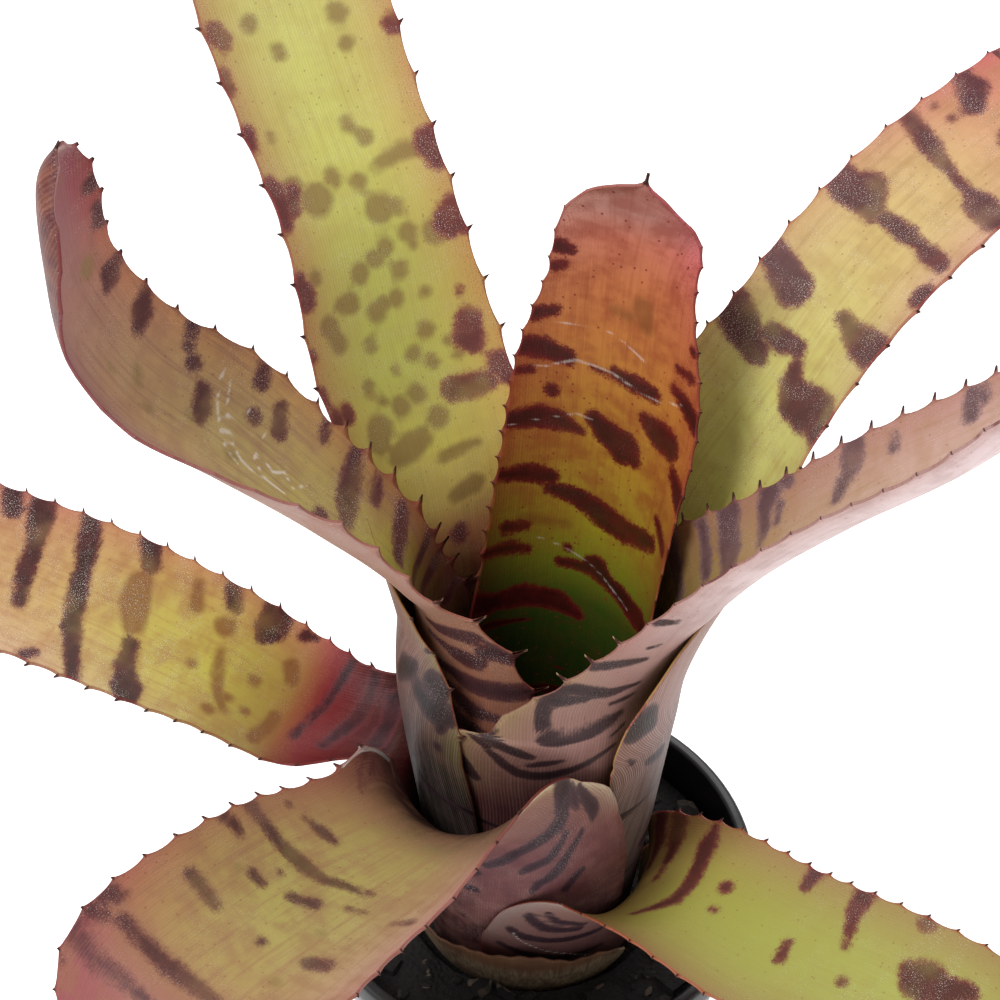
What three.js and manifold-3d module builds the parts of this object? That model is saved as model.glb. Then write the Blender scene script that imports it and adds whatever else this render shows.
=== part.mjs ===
// A potted bromeliad: a tank of nested leaf sheaths whose toothed blades arch out over a round
// nursery pot. Millimetres, +Z up, origin at the middle of the pot's flat underside, front at -Y.
// Azimuths are degrees counter-clockwise from +X, seen from above.
import * as THREE from 'three';
import { mergeVertices } from 'three/addons/utils/BufferGeometryUtils.js';
import Module from 'manifold-3d';

const wasm = await Module();
wasm.setup();

// ---------------------------------------------------------------- driving sizes

const pot = {
  height: 140,
  rimRadius: 80,
  shoulderRadius: 76,
  baseRadius: 57.5,
  wall: 1.8,
  floor: 3,
  lipHeight: 9,
  lipThickness: 2.4,
  drainHoles: 8,
  drainHoleRadius: 5,
  drainCircleRadius: 41,
  segments: 48,
};
const soilLevel = 125;
const clearance = 0.35;
// The plant stands in a shallow conical socket in the soil, and its stump in a plain hole below.
const socket = { depth: 8.6, floorRadius: 43.2, topRadius: 46.8 };
const stem = { radius: 24.4, foot: -41, top: 6, neck: 18 };
const sheathThickness = 0.66;
const bladeThickness = 1.0;
const tooth = { pitch: 12, height: 2.4, rootHeight: 0.3, scallop: 0.5 };

// The net of a leaf: long rows with many strips in the sheath, then one row to a tooth. A sheath
// ends at the station sheathTurn, and from bladeTurn on the blade has half as many strips.
const leafNet = { sheathRow: 24, sheathTurn: 2, bladeTurn: 4.1, bladeStrips: 8 };
const sheathFoot = -8;

// Every sheath keeps its own shell of the tank, so nested sheaths never touch.
const tankRadius = (up) => 26.2 + 0.113 * up - 0.00015 * up * up;
const shellPitch = (up) => 2.06 + 0.0027 * up;
const shellRadius = (shell, up) => tankRadius(up) + shell * shellPitch(up);

// A leaf is swept along its midrib. Its own frame has +X the way it points and z = 0 at the soil.
//   azimuth      the way the leaf points
//   shell        how many sheath pitches its sheath lies outside the innermost one
//   sheath       stations [up, half-wrap, skew], angles in degrees
//   blade        stations [out, up, side, half-width, cup, roll, skew], angles in degrees
//   toothedFrom  the station at which the marginal teeth begin
//   mucro        the length of the awl at the tip
const leaves = {
  leaf_centre: {
    azimuth: 71, shell: 0, colour: '#8a5a2c', toothedFrom: 3, mucro: 6,
    sheath: [[sheathFoot, 114, 0], [34, 100, -7], [79, 81, -10]],
    blade: [
      [40, 121, -1, 42, 70, -2, -12], [49, 160, -2, 38, 58, -1, -10], [58, 194, -4, 34, 41, 0, -4],
      [67, 221, -6, 26, 32, 0, 0], [71, 240, -7, 22, 24, -1, 0], [72, 251, -8, 14, 21, -2, 0],
      [72, 257, -9, 4, 18, -2, 0],
    ],
  },
  leaf_left_upper: {
    azimuth: 177, shell: 1.7, colour: '#a07a52', toothedFrom: 2.6, mucro: 3,
    sheath: [[sheathFoot, 114, 0], [41, 110, 6], [92, 88, 16]],
    blade: [
      [39, 136, -3, 41, 61, 11, 14], [46, 157, -6, 30, 45, 3, 11], [70, 179, -5, 31, 68, -1, 9],
      [97, 202, -6, 32, 59, -4, 0], [120, 224, -6, 29, 40, -6, 0], [133, 252, -4, 26, 29, -5, 0],
      [135, 280, -1, 22, 33, -5, 0], [134, 301, 2, 14, 38, -2, 0], [128, 311, 4, 4, 38, 0, 0],
    ],
  },
  leaf_right: {
    azimuth: -16, shell: 2.6, colour: '#a98273', toothedFrom: 2, mucro: 3,
    sheath: [[sheathFoot, 96, 0], [53, 105, 14], [118, 101, 2]],
    blade: [
      [45, 133, 0, 56, 76, -4, -1], [53, 153, 1, 40, 63, -3, -4], [72, 181, 2, 31, 54, -8, -3],
      [96, 207, 2, 29, 55, -11, 0], [123, 234, 1, 29, 50, -13, 0], [147, 262, 2, 26, 48, -18, 0],
      [167, 286, 0, 22, 40, -18, 0], [181, 304, 0, 14, 34, -16, 0], [187, 312, 0, 4, 30, -14, 0],
    ],
  },
  leaf_back_left: {
    azimuth: 122, shell: 3.55, colour: '#b5ad4c', toothedFrom: 3, mucro: 4,
    sheath: [[sheathFoot, 105, 0], [49, 118, 3], [108, 110, 5]],
    blade: [
      [50, 131, -1, 62, 79, 4, 7], [61, 157, 1, 39, 57, -2, 2], [85, 192, 0, 35, 34, -2, 1],
      [106, 231, -1, 31, 21, 0, 0], [129, 264, 0, 31, 15, -1, 0], [149, 297, 1, 32, 13, -2, 0],
      [171, 329, 0, 29, 14, 0, 0], [188, 355, 0, 24, 14, 0, 0], [200, 373, 0, 15, 13, 0, 0],
      [205, 381, 0, 4, 12, 0, 0],
    ],
  },
  leaf_back_right: {
    azimuth: 34, shell: 4.45, colour: '#b79a55', toothedFrom: 3, mucro: 4,
    sheath: [[sheathFoot, 110, 0], [45, 113, -1], [101, 106, 0]],
    blade: [
      [52, 131, -1, 59, 62, -4, 0], [70, 157, 2, 40, 49, 5, 1], [96, 194, 0, 32, 34, -2, 0],
      [124, 223, 1, 30, 21, -1, 0], [156, 244, 1, 30, 15, -1, 0], [196, 261, -1, 29, 14, -1, 0],
      [226, 270, 0, 25, 14, 0, 0], [248, 275, 0, 16, 13, 0, 0], [258, 276, 0, 4, 12, 0, 0],
    ],
  },
  leaf_left_lower: {
    azimuth: 164, shell: 5.15, colour: '#a88a4f', toothedFrom: 4, mucro: 4,
    sheath: [[sheathFoot, 44, -24], [19, 57, -24], [50, 51, -25]],
    blade: [
      [49, 58, 0, 34, 64, 7, -22], [58, 59, 0, 24, 56, 9, -10], [85, 61, 0, 29, 36, -1, -4],
      [118, 79, -2, 32, 28, -4, 0], [156, 94, -2, 33, 19, -6, 0], [197, 106, -2, 32, 14, -6, 0],
      [234, 116, -2, 29, 14, -5, 0], [262, 122, -2, 23, 14, -4, 0], [280, 125, -2, 14, 13, -3, 0],
      [288, 126, -2, 4, 12, -3, 0],
    ],
  },
  leaf_front_left: {
    azimuth: 236, shell: 6.1, colour: '#b08d5a', toothedFrom: 4.4, mucro: 4,
    sheath: [[sheathFoot, 63, 12], [16, 65, 15], [43, 66, 17]],
    blade: [
      [48, 73, 1, 50, 60, 1, 19], [55, 87, -1, 43, 62, 1, 18], [66, 97, -5, 36, 50, 0, 11],
      [97, 101, -7, 37, 41, -5, 0], [133, 111, -11, 39, 31, -8, 0], [161, 115, -13, 39, 24, -3, 0],
      [176, 107, -13, 33, 16, 5, 0], [187, 88, -12, 28, 14, 8, 0], [193, 70, -11, 20, 13, 8, 0],
      [196, 56, -10, 11, 12, 6, 0], [197, 50, -10, 4, 12, 6, 0],
    ],
  },
  leaf_front_right: {
    azimuth: -41, shell: 6.9, colour: '#a59a4a', toothedFrom: 4, mucro: 4,
    sheath: [[sheathFoot, 57, -10], [6, 64, -11], [22, 58, -15]],
    blade: [
      [45, 34, 0, 41, 62, 6, -16], [52, 42, 0, 35, 60, 5, -10], [70, 52, -1, 32, 41, 3, -3],
      [106, 58, -1, 30, 22, 6, 0], [147, 64, 4, 29, 20, 5, 0], [178, 62, 6, 29, 18, 3, 0],
      [206, 51, 3, 25, 15, 2, 0], [226, 42, 2, 16, 14, 1, 0], [234, 36, 2, 4, 13, 1, 0],
    ],
  },
};

// The old papery leaf base at the front of the tank's foot: rows of [out, up].
const drySheath = {
  azimuth: 262,
  rows: [[40.9, -8], [44.3, 2], [47, 12], [47.6, 24]],
  halfWrap: 56,
  columns: 16,
  thickness: 0.8,
};

const finishes = {
  pot: { color: '#17181a', roughness: 0.42, metalness: 0 },
  soil: { color: '#1c1612', roughness: 0.95, metalness: 0 },
  stem: { color: '#5b4630', roughness: 0.9, metalness: 0 },
  sheath_dry: { color: '#8b7a62', roughness: 0.85, metalness: 0 },
  leaf: { roughness: 0.48, metalness: 0 },
};

// ---------------------------------------------------------------- small helpers

const radians = THREE.MathUtils.degToRad;

// A value and its slope on a uniform Catmull-Rom curve through a list of numbers.
function curveAt(values, t) {
  const last = values.length - 1;
  const i = Math.min(Math.max(Math.floor(t), 0), last - 1);
  const f = t - i;
  const b = values[i];
  const c = values[i + 1];
  const a = i > 0 ? values[i - 1] : 2 * b - c;
  const d = i + 2 <= last ? values[i + 2] : 2 * c - b;
  const k3 = -a + 3 * b - 3 * c + d;
  const k2 = 2 * a - 5 * b + 4 * c - d;
  const k1 = c - a;
  return [0.5 * ((k3 * f + k2) * f + k1) * f + b, 0.5 * (3 * k3 * f + 2 * k2) * f + 0.5 * k1];
}

// A thin closed solid from a net of points in the sheet's middle, each with its normal: the net's
// two faces lie half a thickness to either side, split into triangles alike, with a wall between.
function solidSheet(net, triangles) {
  const count = net.length;
  const positions = new Float32Array(count * 6);
  net.forEach(({ point, normal, thickness }, i) => {
    for (const [side, offset] of [[1, 0], [-1, count]]) {
      const corner = point.clone().addScaledVector(normal, side * thickness / 2);
      corner.toArray(positions, (i + offset) * 3);
    }
  });
  const index = [];
  const open = new Map();
  for (const [a, b, c] of triangles) {
    index.push(a, b, c, a + count, c + count, b + count);
    for (const [from, to] of [[a, b], [b, c], [c, a]]) {
      if (!open.delete(`${to},${from}`)) open.set(`${from},${to}`, [from, to]);
    }
  }
  for (const [from, to] of open.values()) {
    index.push(from, from + count, to + count, from, to + count, to);
  }
  const geometry = new THREE.BufferGeometry();
  geometry.setAttribute('position', new THREE.BufferAttribute(positions, 3));
  geometry.setIndex(index);
  return geometry;
}

function toManifold(geometry) {
  const plain = geometry.clone();
  plain.deleteAttribute('normal');
  plain.deleteAttribute('uv');
  const merged = mergeVertices(plain, 1e-4);
  return new wasm.Manifold(new wasm.Mesh({
    numProp: 3,
    vertProperties: Float32Array.from(merged.attributes.position.array),
    triVerts: Uint32Array.from(merged.index.array),
  }));
}

function fromManifold(solid) {
  const mesh = solid.getMesh();
  const geometry = new THREE.BufferGeometry();
  geometry.setAttribute('position', new THREE.BufferAttribute(mesh.vertProperties, 3));
  geometry.setIndex(new THREE.BufferAttribute(mesh.triVerts, 1));
  return geometry;
}

function piece(name, geometry, finish) {
  const material = new THREE.MeshStandardMaterial(finish);
  const mesh = new THREE.Mesh(geometry, material);
  mesh.name = name;
  return mesh;
}

// ---------------------------------------------------------------- leaves

// The leaf's surface as a function of its station t and its place across u, -1 to 1.
function leafSurface(spec) {
  const rows = spec.sheath.map(([up, wrap, skew]) => {
    const radius = shellRadius(spec.shell, up);
    return [radius, up, 0, radius * radians(wrap), wrap, 0, skew];
  }).concat(spec.blade);
  const columns = rows[0].map((_, k) => rows.map((row) => row[k]));
  const leftward = new THREE.Vector3(0, 1, 0);

  const frameAt = (t) => {
    const [out, up, side, width, cup, roll, skew] = columns.map((column) => curveAt(column, t));
    const midrib = new THREE.Vector3(out[0], side[0], up[0]);
    const along = new THREE.Vector3(out[1], side[1], up[1]).normalize();
    const across = leftward.clone().addScaledVector(along, -leftward.dot(along)).normalize();
    const inward = along.clone().cross(across);
    across.applyAxisAngle(along, radians(roll[0]));
    inward.applyAxisAngle(along, radians(roll[0]));
    return {
      midrib, along, across, inward,
      width: width[0], cup: radians(cup[0]), skew: radians(skew[0]),
    };
  };

  const pointAt = (t, u, beyond = 0) => {
    const frame = frameAt(t);
    const bend = frame.width / frame.cup;
    const angle = frame.cup * u + frame.skew + Math.sign(u) * beyond / bend;
    return frame.midrib.clone()
      .addScaledVector(frame.across, bend * Math.sin(angle))
      .addScaledVector(frame.inward, bend * (1 - Math.cos(angle)));
  };

  const stations = rows.length - 1;
  const normalAt = (t, u) => {
    const dt = 0.02;
    const du = 0.02;
    const low = Math.max(t - dt, 0);
    const high = Math.min(t + dt, stations);
    const lengthwise = pointAt(high, u).sub(pointAt(low, u));
    const crosswise = pointAt(t, u + du).sub(pointAt(t, u - du));
    return lengthwise.cross(crosswise).normalize();
  };
  return { frameAt, pointAt, normalAt, stations };
}

// Stations from one end to the other, spaced evenly along the midrib.
function evenStations(surface, from, to, spacing) {
  const steps = 400;
  const lengths = [0];
  let before = surface.frameAt(from).midrib;
  for (let i = 1; i <= steps; i++) {
    const here = surface.frameAt(from + (to - from) * i / steps).midrib;
    lengths.push(lengths[i - 1] + here.distanceTo(before));
    before = here;
  }
  const cells = Math.max(1, Math.round(lengths[steps] / spacing));
  const stations = [];
  for (let i = 0, k = 0; i <= cells; i++) {
    const goal = lengths[steps] * i / cells;
    while (k < steps && lengths[k] < goal) k++;
    stations.push(from + (to - from) * k / steps);
  }
  return stations;
}

function leafGeometry(spec) {
  const surface = leafSurface(spec);
  const net = [];
  const triangles = [];
  const thicknessAt = (t) => THREE.MathUtils.lerp(
    sheathThickness, bladeThickness, THREE.MathUtils.smoothstep(t, 3.5, 6));
  const add = (t, u, beyond = 0) => {
    net.push({
      point: surface.pointAt(t, u, beyond),
      normal: surface.normalAt(t, u),
      thickness: thicknessAt(t),
    });
    return net.length - 1;
  };
  const addRow = (t, strips, beyond = 0) => {
    const row = [];
    for (let k = 0; k <= strips; k++) {
      const atMargin = k === 0 || k === strips;
      row.push(add(t, -1 + 2 * k / strips, atMargin ? beyond : 0));
    }
    return row;
  };
  const joinStrip = (near, far, k) => {
    triangles.push([near[k], far[k], far[k + 1]], [near[k], far[k + 1], near[k + 1]]);
  };

  const { sheathRow, sheathTurn, bladeTurn, bladeStrips } = leafNet;
  let strips = 2 * bladeStrips;
  const sheathStations = evenStations(surface, 0, sheathTurn, sheathRow);
  let row = addRow(sheathStations[0], strips);
  for (const t of sheathStations.slice(1)) {
    const next = addRow(t, strips);
    for (let k = 0; k < strips; k++) joinStrip(row, next, k);
    row = next;
  }

  const cells = evenStations(surface, sheathTurn, surface.stations, tooth.pitch);
  for (let i = 0; i < cells.length - 1; i++) {
    const [from, to] = [cells[i], cells[i + 1]];
    if (strips > bladeStrips && to > bladeTurn) {
      const merged = addRow(to, bladeStrips);
      for (let j = 0; j < bladeStrips; j++) {
        const [a, b, c] = [row[2 * j], row[2 * j + 1], row[2 * j + 2]];
        triangles.push([a, merged[j], b], [b, merged[j], merged[j + 1]], [b, merged[j + 1], c]);
      }
      strips = bladeStrips;
      row = merged;
      continue;
    }
    const { width } = surface.frameAt((from + to) / 2);
    const size = Math.min(1, width / 16);
    const toothed = from >= spec.toothedFrom && size > 0.5;
    const next = addRow(to, strips, toothed ? -tooth.scallop * size : 0);
    for (let k = 1; k < strips - 1; k++) joinStrip(row, next, k);
    if (toothed) {
      for (const [u, edge, inner] of [[-1, 0, 1], [1, strips, strips - 1]]) {
        const station = (share) => THREE.MathUtils.lerp(from, to, share);
        const root = add(station(0.42), u, tooth.rootHeight);
        const tip = add(station(0.58), u, tooth.height * size);
        const heel = add(station(0.6), u, tooth.rootHeight);
        const fan = [
          [row[inner], root, row[edge]], [row[inner], heel, root], [root, heel, tip],
          [row[inner], next[inner], heel], [next[inner], next[edge], heel],
        ];
        triangles.push(...(u > 0 ? fan : fan.map(([a, b, c]) => [a, c, b])));
      }
    } else {
      joinStrip(row, next, 0);
      joinStrip(row, next, strips - 1);
    }
    row = next;
  }

  // The awl at the tip.
  const end = surface.frameAt(surface.stations);
  net.push({
    point: end.midrib.clone().addScaledVector(end.along, spec.mucro),
    normal: surface.normalAt(surface.stations, 0),
    thickness: sheathThickness,
  });
  for (let k = 0; k < bladeStrips; k++) triangles.push([row[k], net.length - 1, row[k + 1]]);
  return solidSheet(net, triangles);
}

// The dry sheath has a torn upper edge: each column stops at its own height.
function drySheathGeometry() {
  const { rows, columns, halfWrap, thickness } = drySheath;
  const outs = rows.map(([out]) => out);
  const ups = rows.map(([, up]) => up);
  const last = rows.length - 1;
  const levels = 5;
  const net = [];
  const triangles = [];
  for (let i = 0; i <= levels; i++) {
    for (let k = 0; k <= columns; k++) {
      const across = -1 + 2 * k / columns;
      const tear = 0.82 + 0.12 * Math.sin(7 * across + 1) + 0.06 * Math.sin(19 * across);
      const shoulder = Math.sqrt(Math.max(1 - across ** 6, 0.04));
      const t = last * (i / levels) * tear * shoulder;
      const [out, outSlope] = curveAt(outs, t);
      const [up, upSlope] = curveAt(ups, t);
      const turn = radians(halfWrap * across);
      const radial = new THREE.Vector3(Math.cos(turn), Math.sin(turn), 0);
      const point = radial.clone().multiplyScalar(out).setZ(up);
      const normal = radial.clone().multiplyScalar(-upSlope).setZ(outSlope).normalize();
      net.push({ point, normal, thickness });
    }
  }
  const at = (i, k) => i * (columns + 1) + k;
  for (let i = 0; i < levels; i++) {
    for (let k = 0; k < columns; k++) {
      const [a, b, c, d] = [at(i, k), at(i + 1, k), at(i + 1, k + 1), at(i, k + 1)];
      triangles.push([a, b, c], [a, c, d]);
    }
  }
  return solidSheet(net, triangles);
}

// ---------------------------------------------------------------- pot, soil and stem

// Solid of revolution round Z from a profile of [radius, height] that closes on itself or starts
// and ends on the axis, listed anticlockwise.
function turned(profile, segments) {
  const points = profile.map(([radius, height]) => new THREE.Vector2(radius, height));
  const geometry = new THREE.LatheGeometry(points, segments);
  geometry.rotateX(Math.PI / 2);
  return geometry;
}

const wallRadius = (height) => THREE.MathUtils.mapLinear(
  height, 0, pot.height - pot.lipHeight, pot.baseRadius, pot.shoulderRadius);

function potGeometry() {
  const shoulder = pot.height - pot.lipHeight;
  const top = pot.height;
  const rim = pot.rimRadius;
  const profile = [
    [0, 0], [pot.baseRadius - 0.8, 0], [wallRadius(1), 1],
    [wallRadius(shoulder), shoulder], [rim - 0.8, shoulder], [rim, shoulder + 0.8],
    [rim, top - 1.6], [rim - 0.8, top - 0.3], [rim - 2, top], [rim - pot.lipThickness - 1.4, top],
    [wallRadius(top) - pot.wall - 1.2, top - 1.4],
    [wallRadius(pot.floor) - pot.wall, pot.floor], [0, pot.floor],
  ];
  let solid = toManifold(turned(profile, pot.segments));
  const drill = new THREE.CylinderGeometry(pot.drainHoleRadius, pot.drainHoleRadius, 30, 12);
  drill.rotateX(Math.PI / 2);
  for (let i = 0; i < pot.drainHoles; i++) {
    const turn = 2 * Math.PI * i / pot.drainHoles;
    const hole = drill.clone();
    hole.translate(pot.drainCircleRadius * Math.cos(turn), pot.drainCircleRadius * Math.sin(turn), 0);
    solid = solid.subtract(toManifold(hole));
  }
  return fromManifold(solid);
}

// Lumps of the potting mix, as waves over its top.
const lump = (x, y) => 1.1 * Math.sin(0.21 * x + 1.3) * Math.cos(0.24 * y)
  + 0.8 * Math.sin(0.47 * y - 0.31 * x + 2) + 0.5 * Math.cos(0.63 * x + 0.4 * y);

function soilGeometry() {
  const innerRadius = (height) => THREE.MathUtils.mapLinear(
    height, pot.floor, pot.height - 1.4,
    wallRadius(pot.floor) - pot.wall, wallRadius(pot.height) - pot.wall - 1.2) - 2 * clearance;
  const bed = pot.floor + clearance;
  const floor = soilLevel - socket.depth;
  const hole = stem.radius + clearance;
  const bottom = soilLevel + stem.foot - clearance;
  const rings = [
    [hole, bottom], [hole, floor], [socket.floorRadius, floor],
    [socket.topRadius, soilLevel, 0.6], [52, soilLevel, 1], [58, soilLevel, 1],
    [65, soilLevel, 1], [innerRadius(soilLevel), soilLevel - 0.5, 0.7], [innerRadius(60), 60],
    [innerRadius(bed), bed],
  ];
  const segments = 40;
  const positions = [0, 0, bottom];
  const index = [];
  const at = (ring, k) => 1 + ring * segments + (k % segments);
  rings.forEach(([radius, height, bumps = 0]) => {
    for (let k = 0; k < segments; k++) {
      const turn = 2 * Math.PI * k / segments;
      const [x, y] = [radius * Math.cos(turn), radius * Math.sin(turn)];
      positions.push(x, y, height + bumps * lump(x, y));
    }
  });
  const last = rings.length - 1;
  positions.push(0, 0, bed);
  const foot = positions.length / 3 - 1;
  for (let k = 0; k < segments; k++) {
    index.push(0, at(0, k), at(0, k + 1));
    for (let ring = 0; ring < last; ring++) {
      const [a, b, c, d] = [at(ring, k), at(ring + 1, k), at(ring + 1, k + 1), at(ring, k + 1)];
      index.push(a, b, c, a, c, d);
    }
    index.push(foot, at(last, k + 1), at(last, k));
  }
  const geometry = new THREE.BufferGeometry();
  geometry.setAttribute('position', new THREE.Float32BufferAttribute(positions, 3));
  geometry.setIndex(index);

  // Bark chips lie half sunk in the mix: [azimuth, distance from the axis, length, width, turn].
  const chips = [
    [296, 56, 13, 7, 20], [252, 60, 9, 5, 70], [318, 64, 10, 6, 130], [15, 60, 12, 6, 40],
    [62, 58, 9, 6, 100], [120, 62, 12, 7, 10], [170, 57, 8, 5, 60], [214, 63, 11, 6, 150],
  ];
  let solid = toManifold(geometry);
  for (const [azimuth, distance, length, width, turn] of chips) {
    const chip = new THREE.BoxGeometry(length, width, 5);
    chip.rotateY(radians(8));
    chip.rotateZ(radians(turn));
    const [x, y] = [distance * Math.cos(radians(azimuth)), distance * Math.sin(radians(azimuth))];
    chip.translate(x, y, soilLevel + lump(x, y) - 0.6);
    solid = solid.add(toManifold(chip));
  }
  return fromManifold(solid);
}

function stemGeometry() {
  const { radius, foot, top, neck } = stem;
  const profile = [
    [0, foot], [radius - 4, foot], [radius, foot + 5], [radius, -socket.depth],
    [radius - 1.5, -4], [radius - 1.5, 0], [neck, top - 1], [neck - 4, top], [0, top],
  ];
  return fromManifold(toManifold(turned(profile, 20)));
}

// ---------------------------------------------------------------- the plant in its pot

const rosette = new THREE.Group();
rosette.position.z = soilLevel;
rosette.add(piece('stem', stemGeometry(), finishes.stem));
for (const [name, spec] of Object.entries(leaves)) {
  const leaf = piece(name, leafGeometry(spec), { ...finishes.leaf, color: spec.colour });
  leaf.rotation.z = radians(spec.azimuth);
  rosette.add(leaf);
}
const oldSheath = piece('sheath_dry', drySheathGeometry(), finishes.sheath_dry);
oldSheath.rotation.z = radians(drySheath.azimuth);
rosette.add(oldSheath);

const bromeliad = new THREE.Group();
bromeliad.add(piece('pot', potGeometry(), finishes.pot));
bromeliad.add(piece('soil', soilGeometry(), finishes.soil));
bromeliad.add(rosette);

export default bromeliad;
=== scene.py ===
# %% [markdown]
# # A potted bromeliad
# A tank bromeliad stands in a black nursery pot. Its broad leaves wrap round each other at the
# base and hold water, and each blade arches out with dark bands and small hooked teeth.
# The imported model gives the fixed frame: where the pot and each leaf are, in metres. Everything
# below is built round it, first the camera, then the leaves, and then the pot and the light.

# %% Load the fixed frame
import math
import random

import bmesh
import bpy
import numpy as np
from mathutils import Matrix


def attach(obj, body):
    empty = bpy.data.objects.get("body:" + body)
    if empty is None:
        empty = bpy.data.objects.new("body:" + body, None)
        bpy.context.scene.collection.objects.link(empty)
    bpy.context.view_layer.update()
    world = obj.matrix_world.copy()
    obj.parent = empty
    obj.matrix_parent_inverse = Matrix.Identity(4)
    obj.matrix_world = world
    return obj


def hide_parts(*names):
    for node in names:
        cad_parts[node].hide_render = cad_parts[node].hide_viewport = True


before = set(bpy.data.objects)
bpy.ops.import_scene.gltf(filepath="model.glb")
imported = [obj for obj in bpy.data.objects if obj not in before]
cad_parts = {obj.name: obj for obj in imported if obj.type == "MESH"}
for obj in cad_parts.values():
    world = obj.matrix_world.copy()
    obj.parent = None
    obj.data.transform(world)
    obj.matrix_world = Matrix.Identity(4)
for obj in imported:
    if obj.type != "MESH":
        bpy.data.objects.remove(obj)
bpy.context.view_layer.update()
mm = 0.001
print("frame nodes:", sorted(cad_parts))

# %% [markdown]
# ## The camera
# The photograph was taken from in front and well above, about 0.8 m away, with a lens that
# covers 28 degrees. Its height shows in how far each leaf hides the one behind, so the camera
# comes before any shape is judged.

# %% Put the camera at the photographer's eye
below_horizon = 42.37
camera_data = bpy.data.cameras.new("photographer")
camera_data.sensor_width = 36
camera_data.lens = 72
camera_data.clip_start = 0.02
camera_data.clip_end = 30
camera = bpy.data.objects.new("photographer", camera_data)
camera.location = (-11.7 * mm, -445.6 * mm, 720.7 * mm)
camera.rotation_euler = (math.radians(90 - below_horizon), 0, 0)
bpy.context.collection.objects.link(camera)
bpy.context.scene.camera = camera
print("camera looks down by", below_horizon, "degrees")

# %% [markdown]
# ## How a leaf grows
# A leaf of this plant is a strap with a broad foot. The foot, called the sheath, wraps the tank
# almost all the way round. Higher up the strap opens to a shallow gutter and arches outwards.
# It could be sculpted or drawn as curves, but a strap is simply a flat grid that has been bent:
# so each leaf starts as a grid, and its rows are laid along a midrib, each row curled to an arc.
# One station of the midrib holds seven numbers: out, up and side give the place, then come the
# half-width, the curl of the row, its roll about the midrib and its skew round the arc.

# %% Sizes that all leaves share
soil_level = 125.0
sheath_foot = -8


def tank_radius(up):
    """Inner radius of the tank at a height above the soil, in mm."""
    return 26.2 + 0.113 * up - 0.00015 * up * up


def shell_radius(shell, up):
    """Each sheath lies a little outside the one before it, like the coats of an onion."""
    return tank_radius(up) + shell * (2.06 + 0.0027 * up)


def stations(leaf):
    """The leaf's stations as rows of numbers: out, up, side, half-width, curl, roll, skew."""
    rows = []
    for up, wrap, skew in leaf["sheath"]:
        radius = shell_radius(leaf["shell"], up)
        rows.append([radius, up, 0, radius * math.radians(wrap), wrap, 0, skew])
    return np.array(rows + leaf["blade"], float)


# %% Follow the stations with a smooth curve
def along_stations(rows, t):
    """Catmull-Rom through the rows: the values at t and their change with t."""
    padded = np.vstack([2 * rows[0] - rows[1], rows, 2 * rows[-1] - rows[-2]])
    cell = np.clip(np.floor(t).astype(int), 0, len(rows) - 2)
    f = (t - cell)[:, None]
    p0, p1, p2, p3 = (padded[cell + k] for k in range(4))
    a = -p0 + 3 * p1 - 3 * p2 + p3
    b = 2 * p0 - 5 * p1 + 4 * p2 - p3
    c = -p0 + p2
    return 0.5 * (a * f**3 + b * f**2 + c * f) + p1, 0.5 * (3 * a * f**2 + 2 * b * f + c)


def unit(v):
    return v / np.linalg.norm(v, axis=-1, keepdims=True)


def midrib(leaf):
    """A fine table of the leaf's middle line: the station number t and the length so far, in mm."""
    rows = stations(leaf)
    t = np.linspace(0, len(rows) - 1, 3001)
    place = curled(leaf, t, np.zeros(len(t)), 0)[0]
    step = np.linalg.norm(np.diff(place, axis=0), axis=1)
    return rows, t, np.concatenate([[0], np.cumsum(step)])


def curled(leaf, t, across, beyond):
    """Points and upper-side normals at station t, for across from -1 to 1.
    beyond is how far a point stands past its plain place along the row, in mm."""
    rows = stations(leaf)
    value, slope = along_stations(rows, t)
    place = value[:, [0, 2, 1]]
    along = unit(slope[:, [0, 2, 1]])
    half_width = value[:, 3]
    curl, roll, skew = np.radians(value[:, 4:7]).T
    side = np.array([0.0, 1.0, 0.0])
    side = unit(side - (along @ side)[:, None] * along)
    face = np.cross(along, side)
    cos_r, sin_r = np.cos(roll)[:, None], np.sin(roll)[:, None]
    side, face = side * cos_r + face * sin_r, face * cos_r - side * sin_r
    radius = half_width / curl
    angle = curl * across + skew + beyond / radius
    point = (
        place
        + (radius * np.sin(angle))[:, None] * side
        + (radius * (1 - np.cos(angle)))[:, None] * face
    )
    normal = face * np.cos(angle)[:, None] - side * np.sin(angle)[:, None]
    return point, normal, along, half_width


# %% [markdown]
# ## The teeth
# The margin of the blade is a row of shallow scallops, and where two scallops meet there is a
# stiff dark thorn that leans towards the tip. Separate cones would look stuck on. Here the rows
# of the grid are laid so that one row always ends in a thorn, and the margin's own points are
# pulled out to it, so that a thorn is part of the leaf, as on the plant.

# %% The profile of one scallop and its thorn
# Where a blade leaves the tank its margins run much further than its midrib, and the thorns keep
# their distance along the margin, so the scallops are counted out on the mean of both margins.
scallop_rows = (0.0, 0.05, 0.14, 0.3, 0.5, 0.7, 0.86, 0.95)
scallop_sink = 0.4
cusp_sharpness = 2.4
cusp_height = 0.6
thorn_lean = 0.5
plain_row = 1.3


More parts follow.
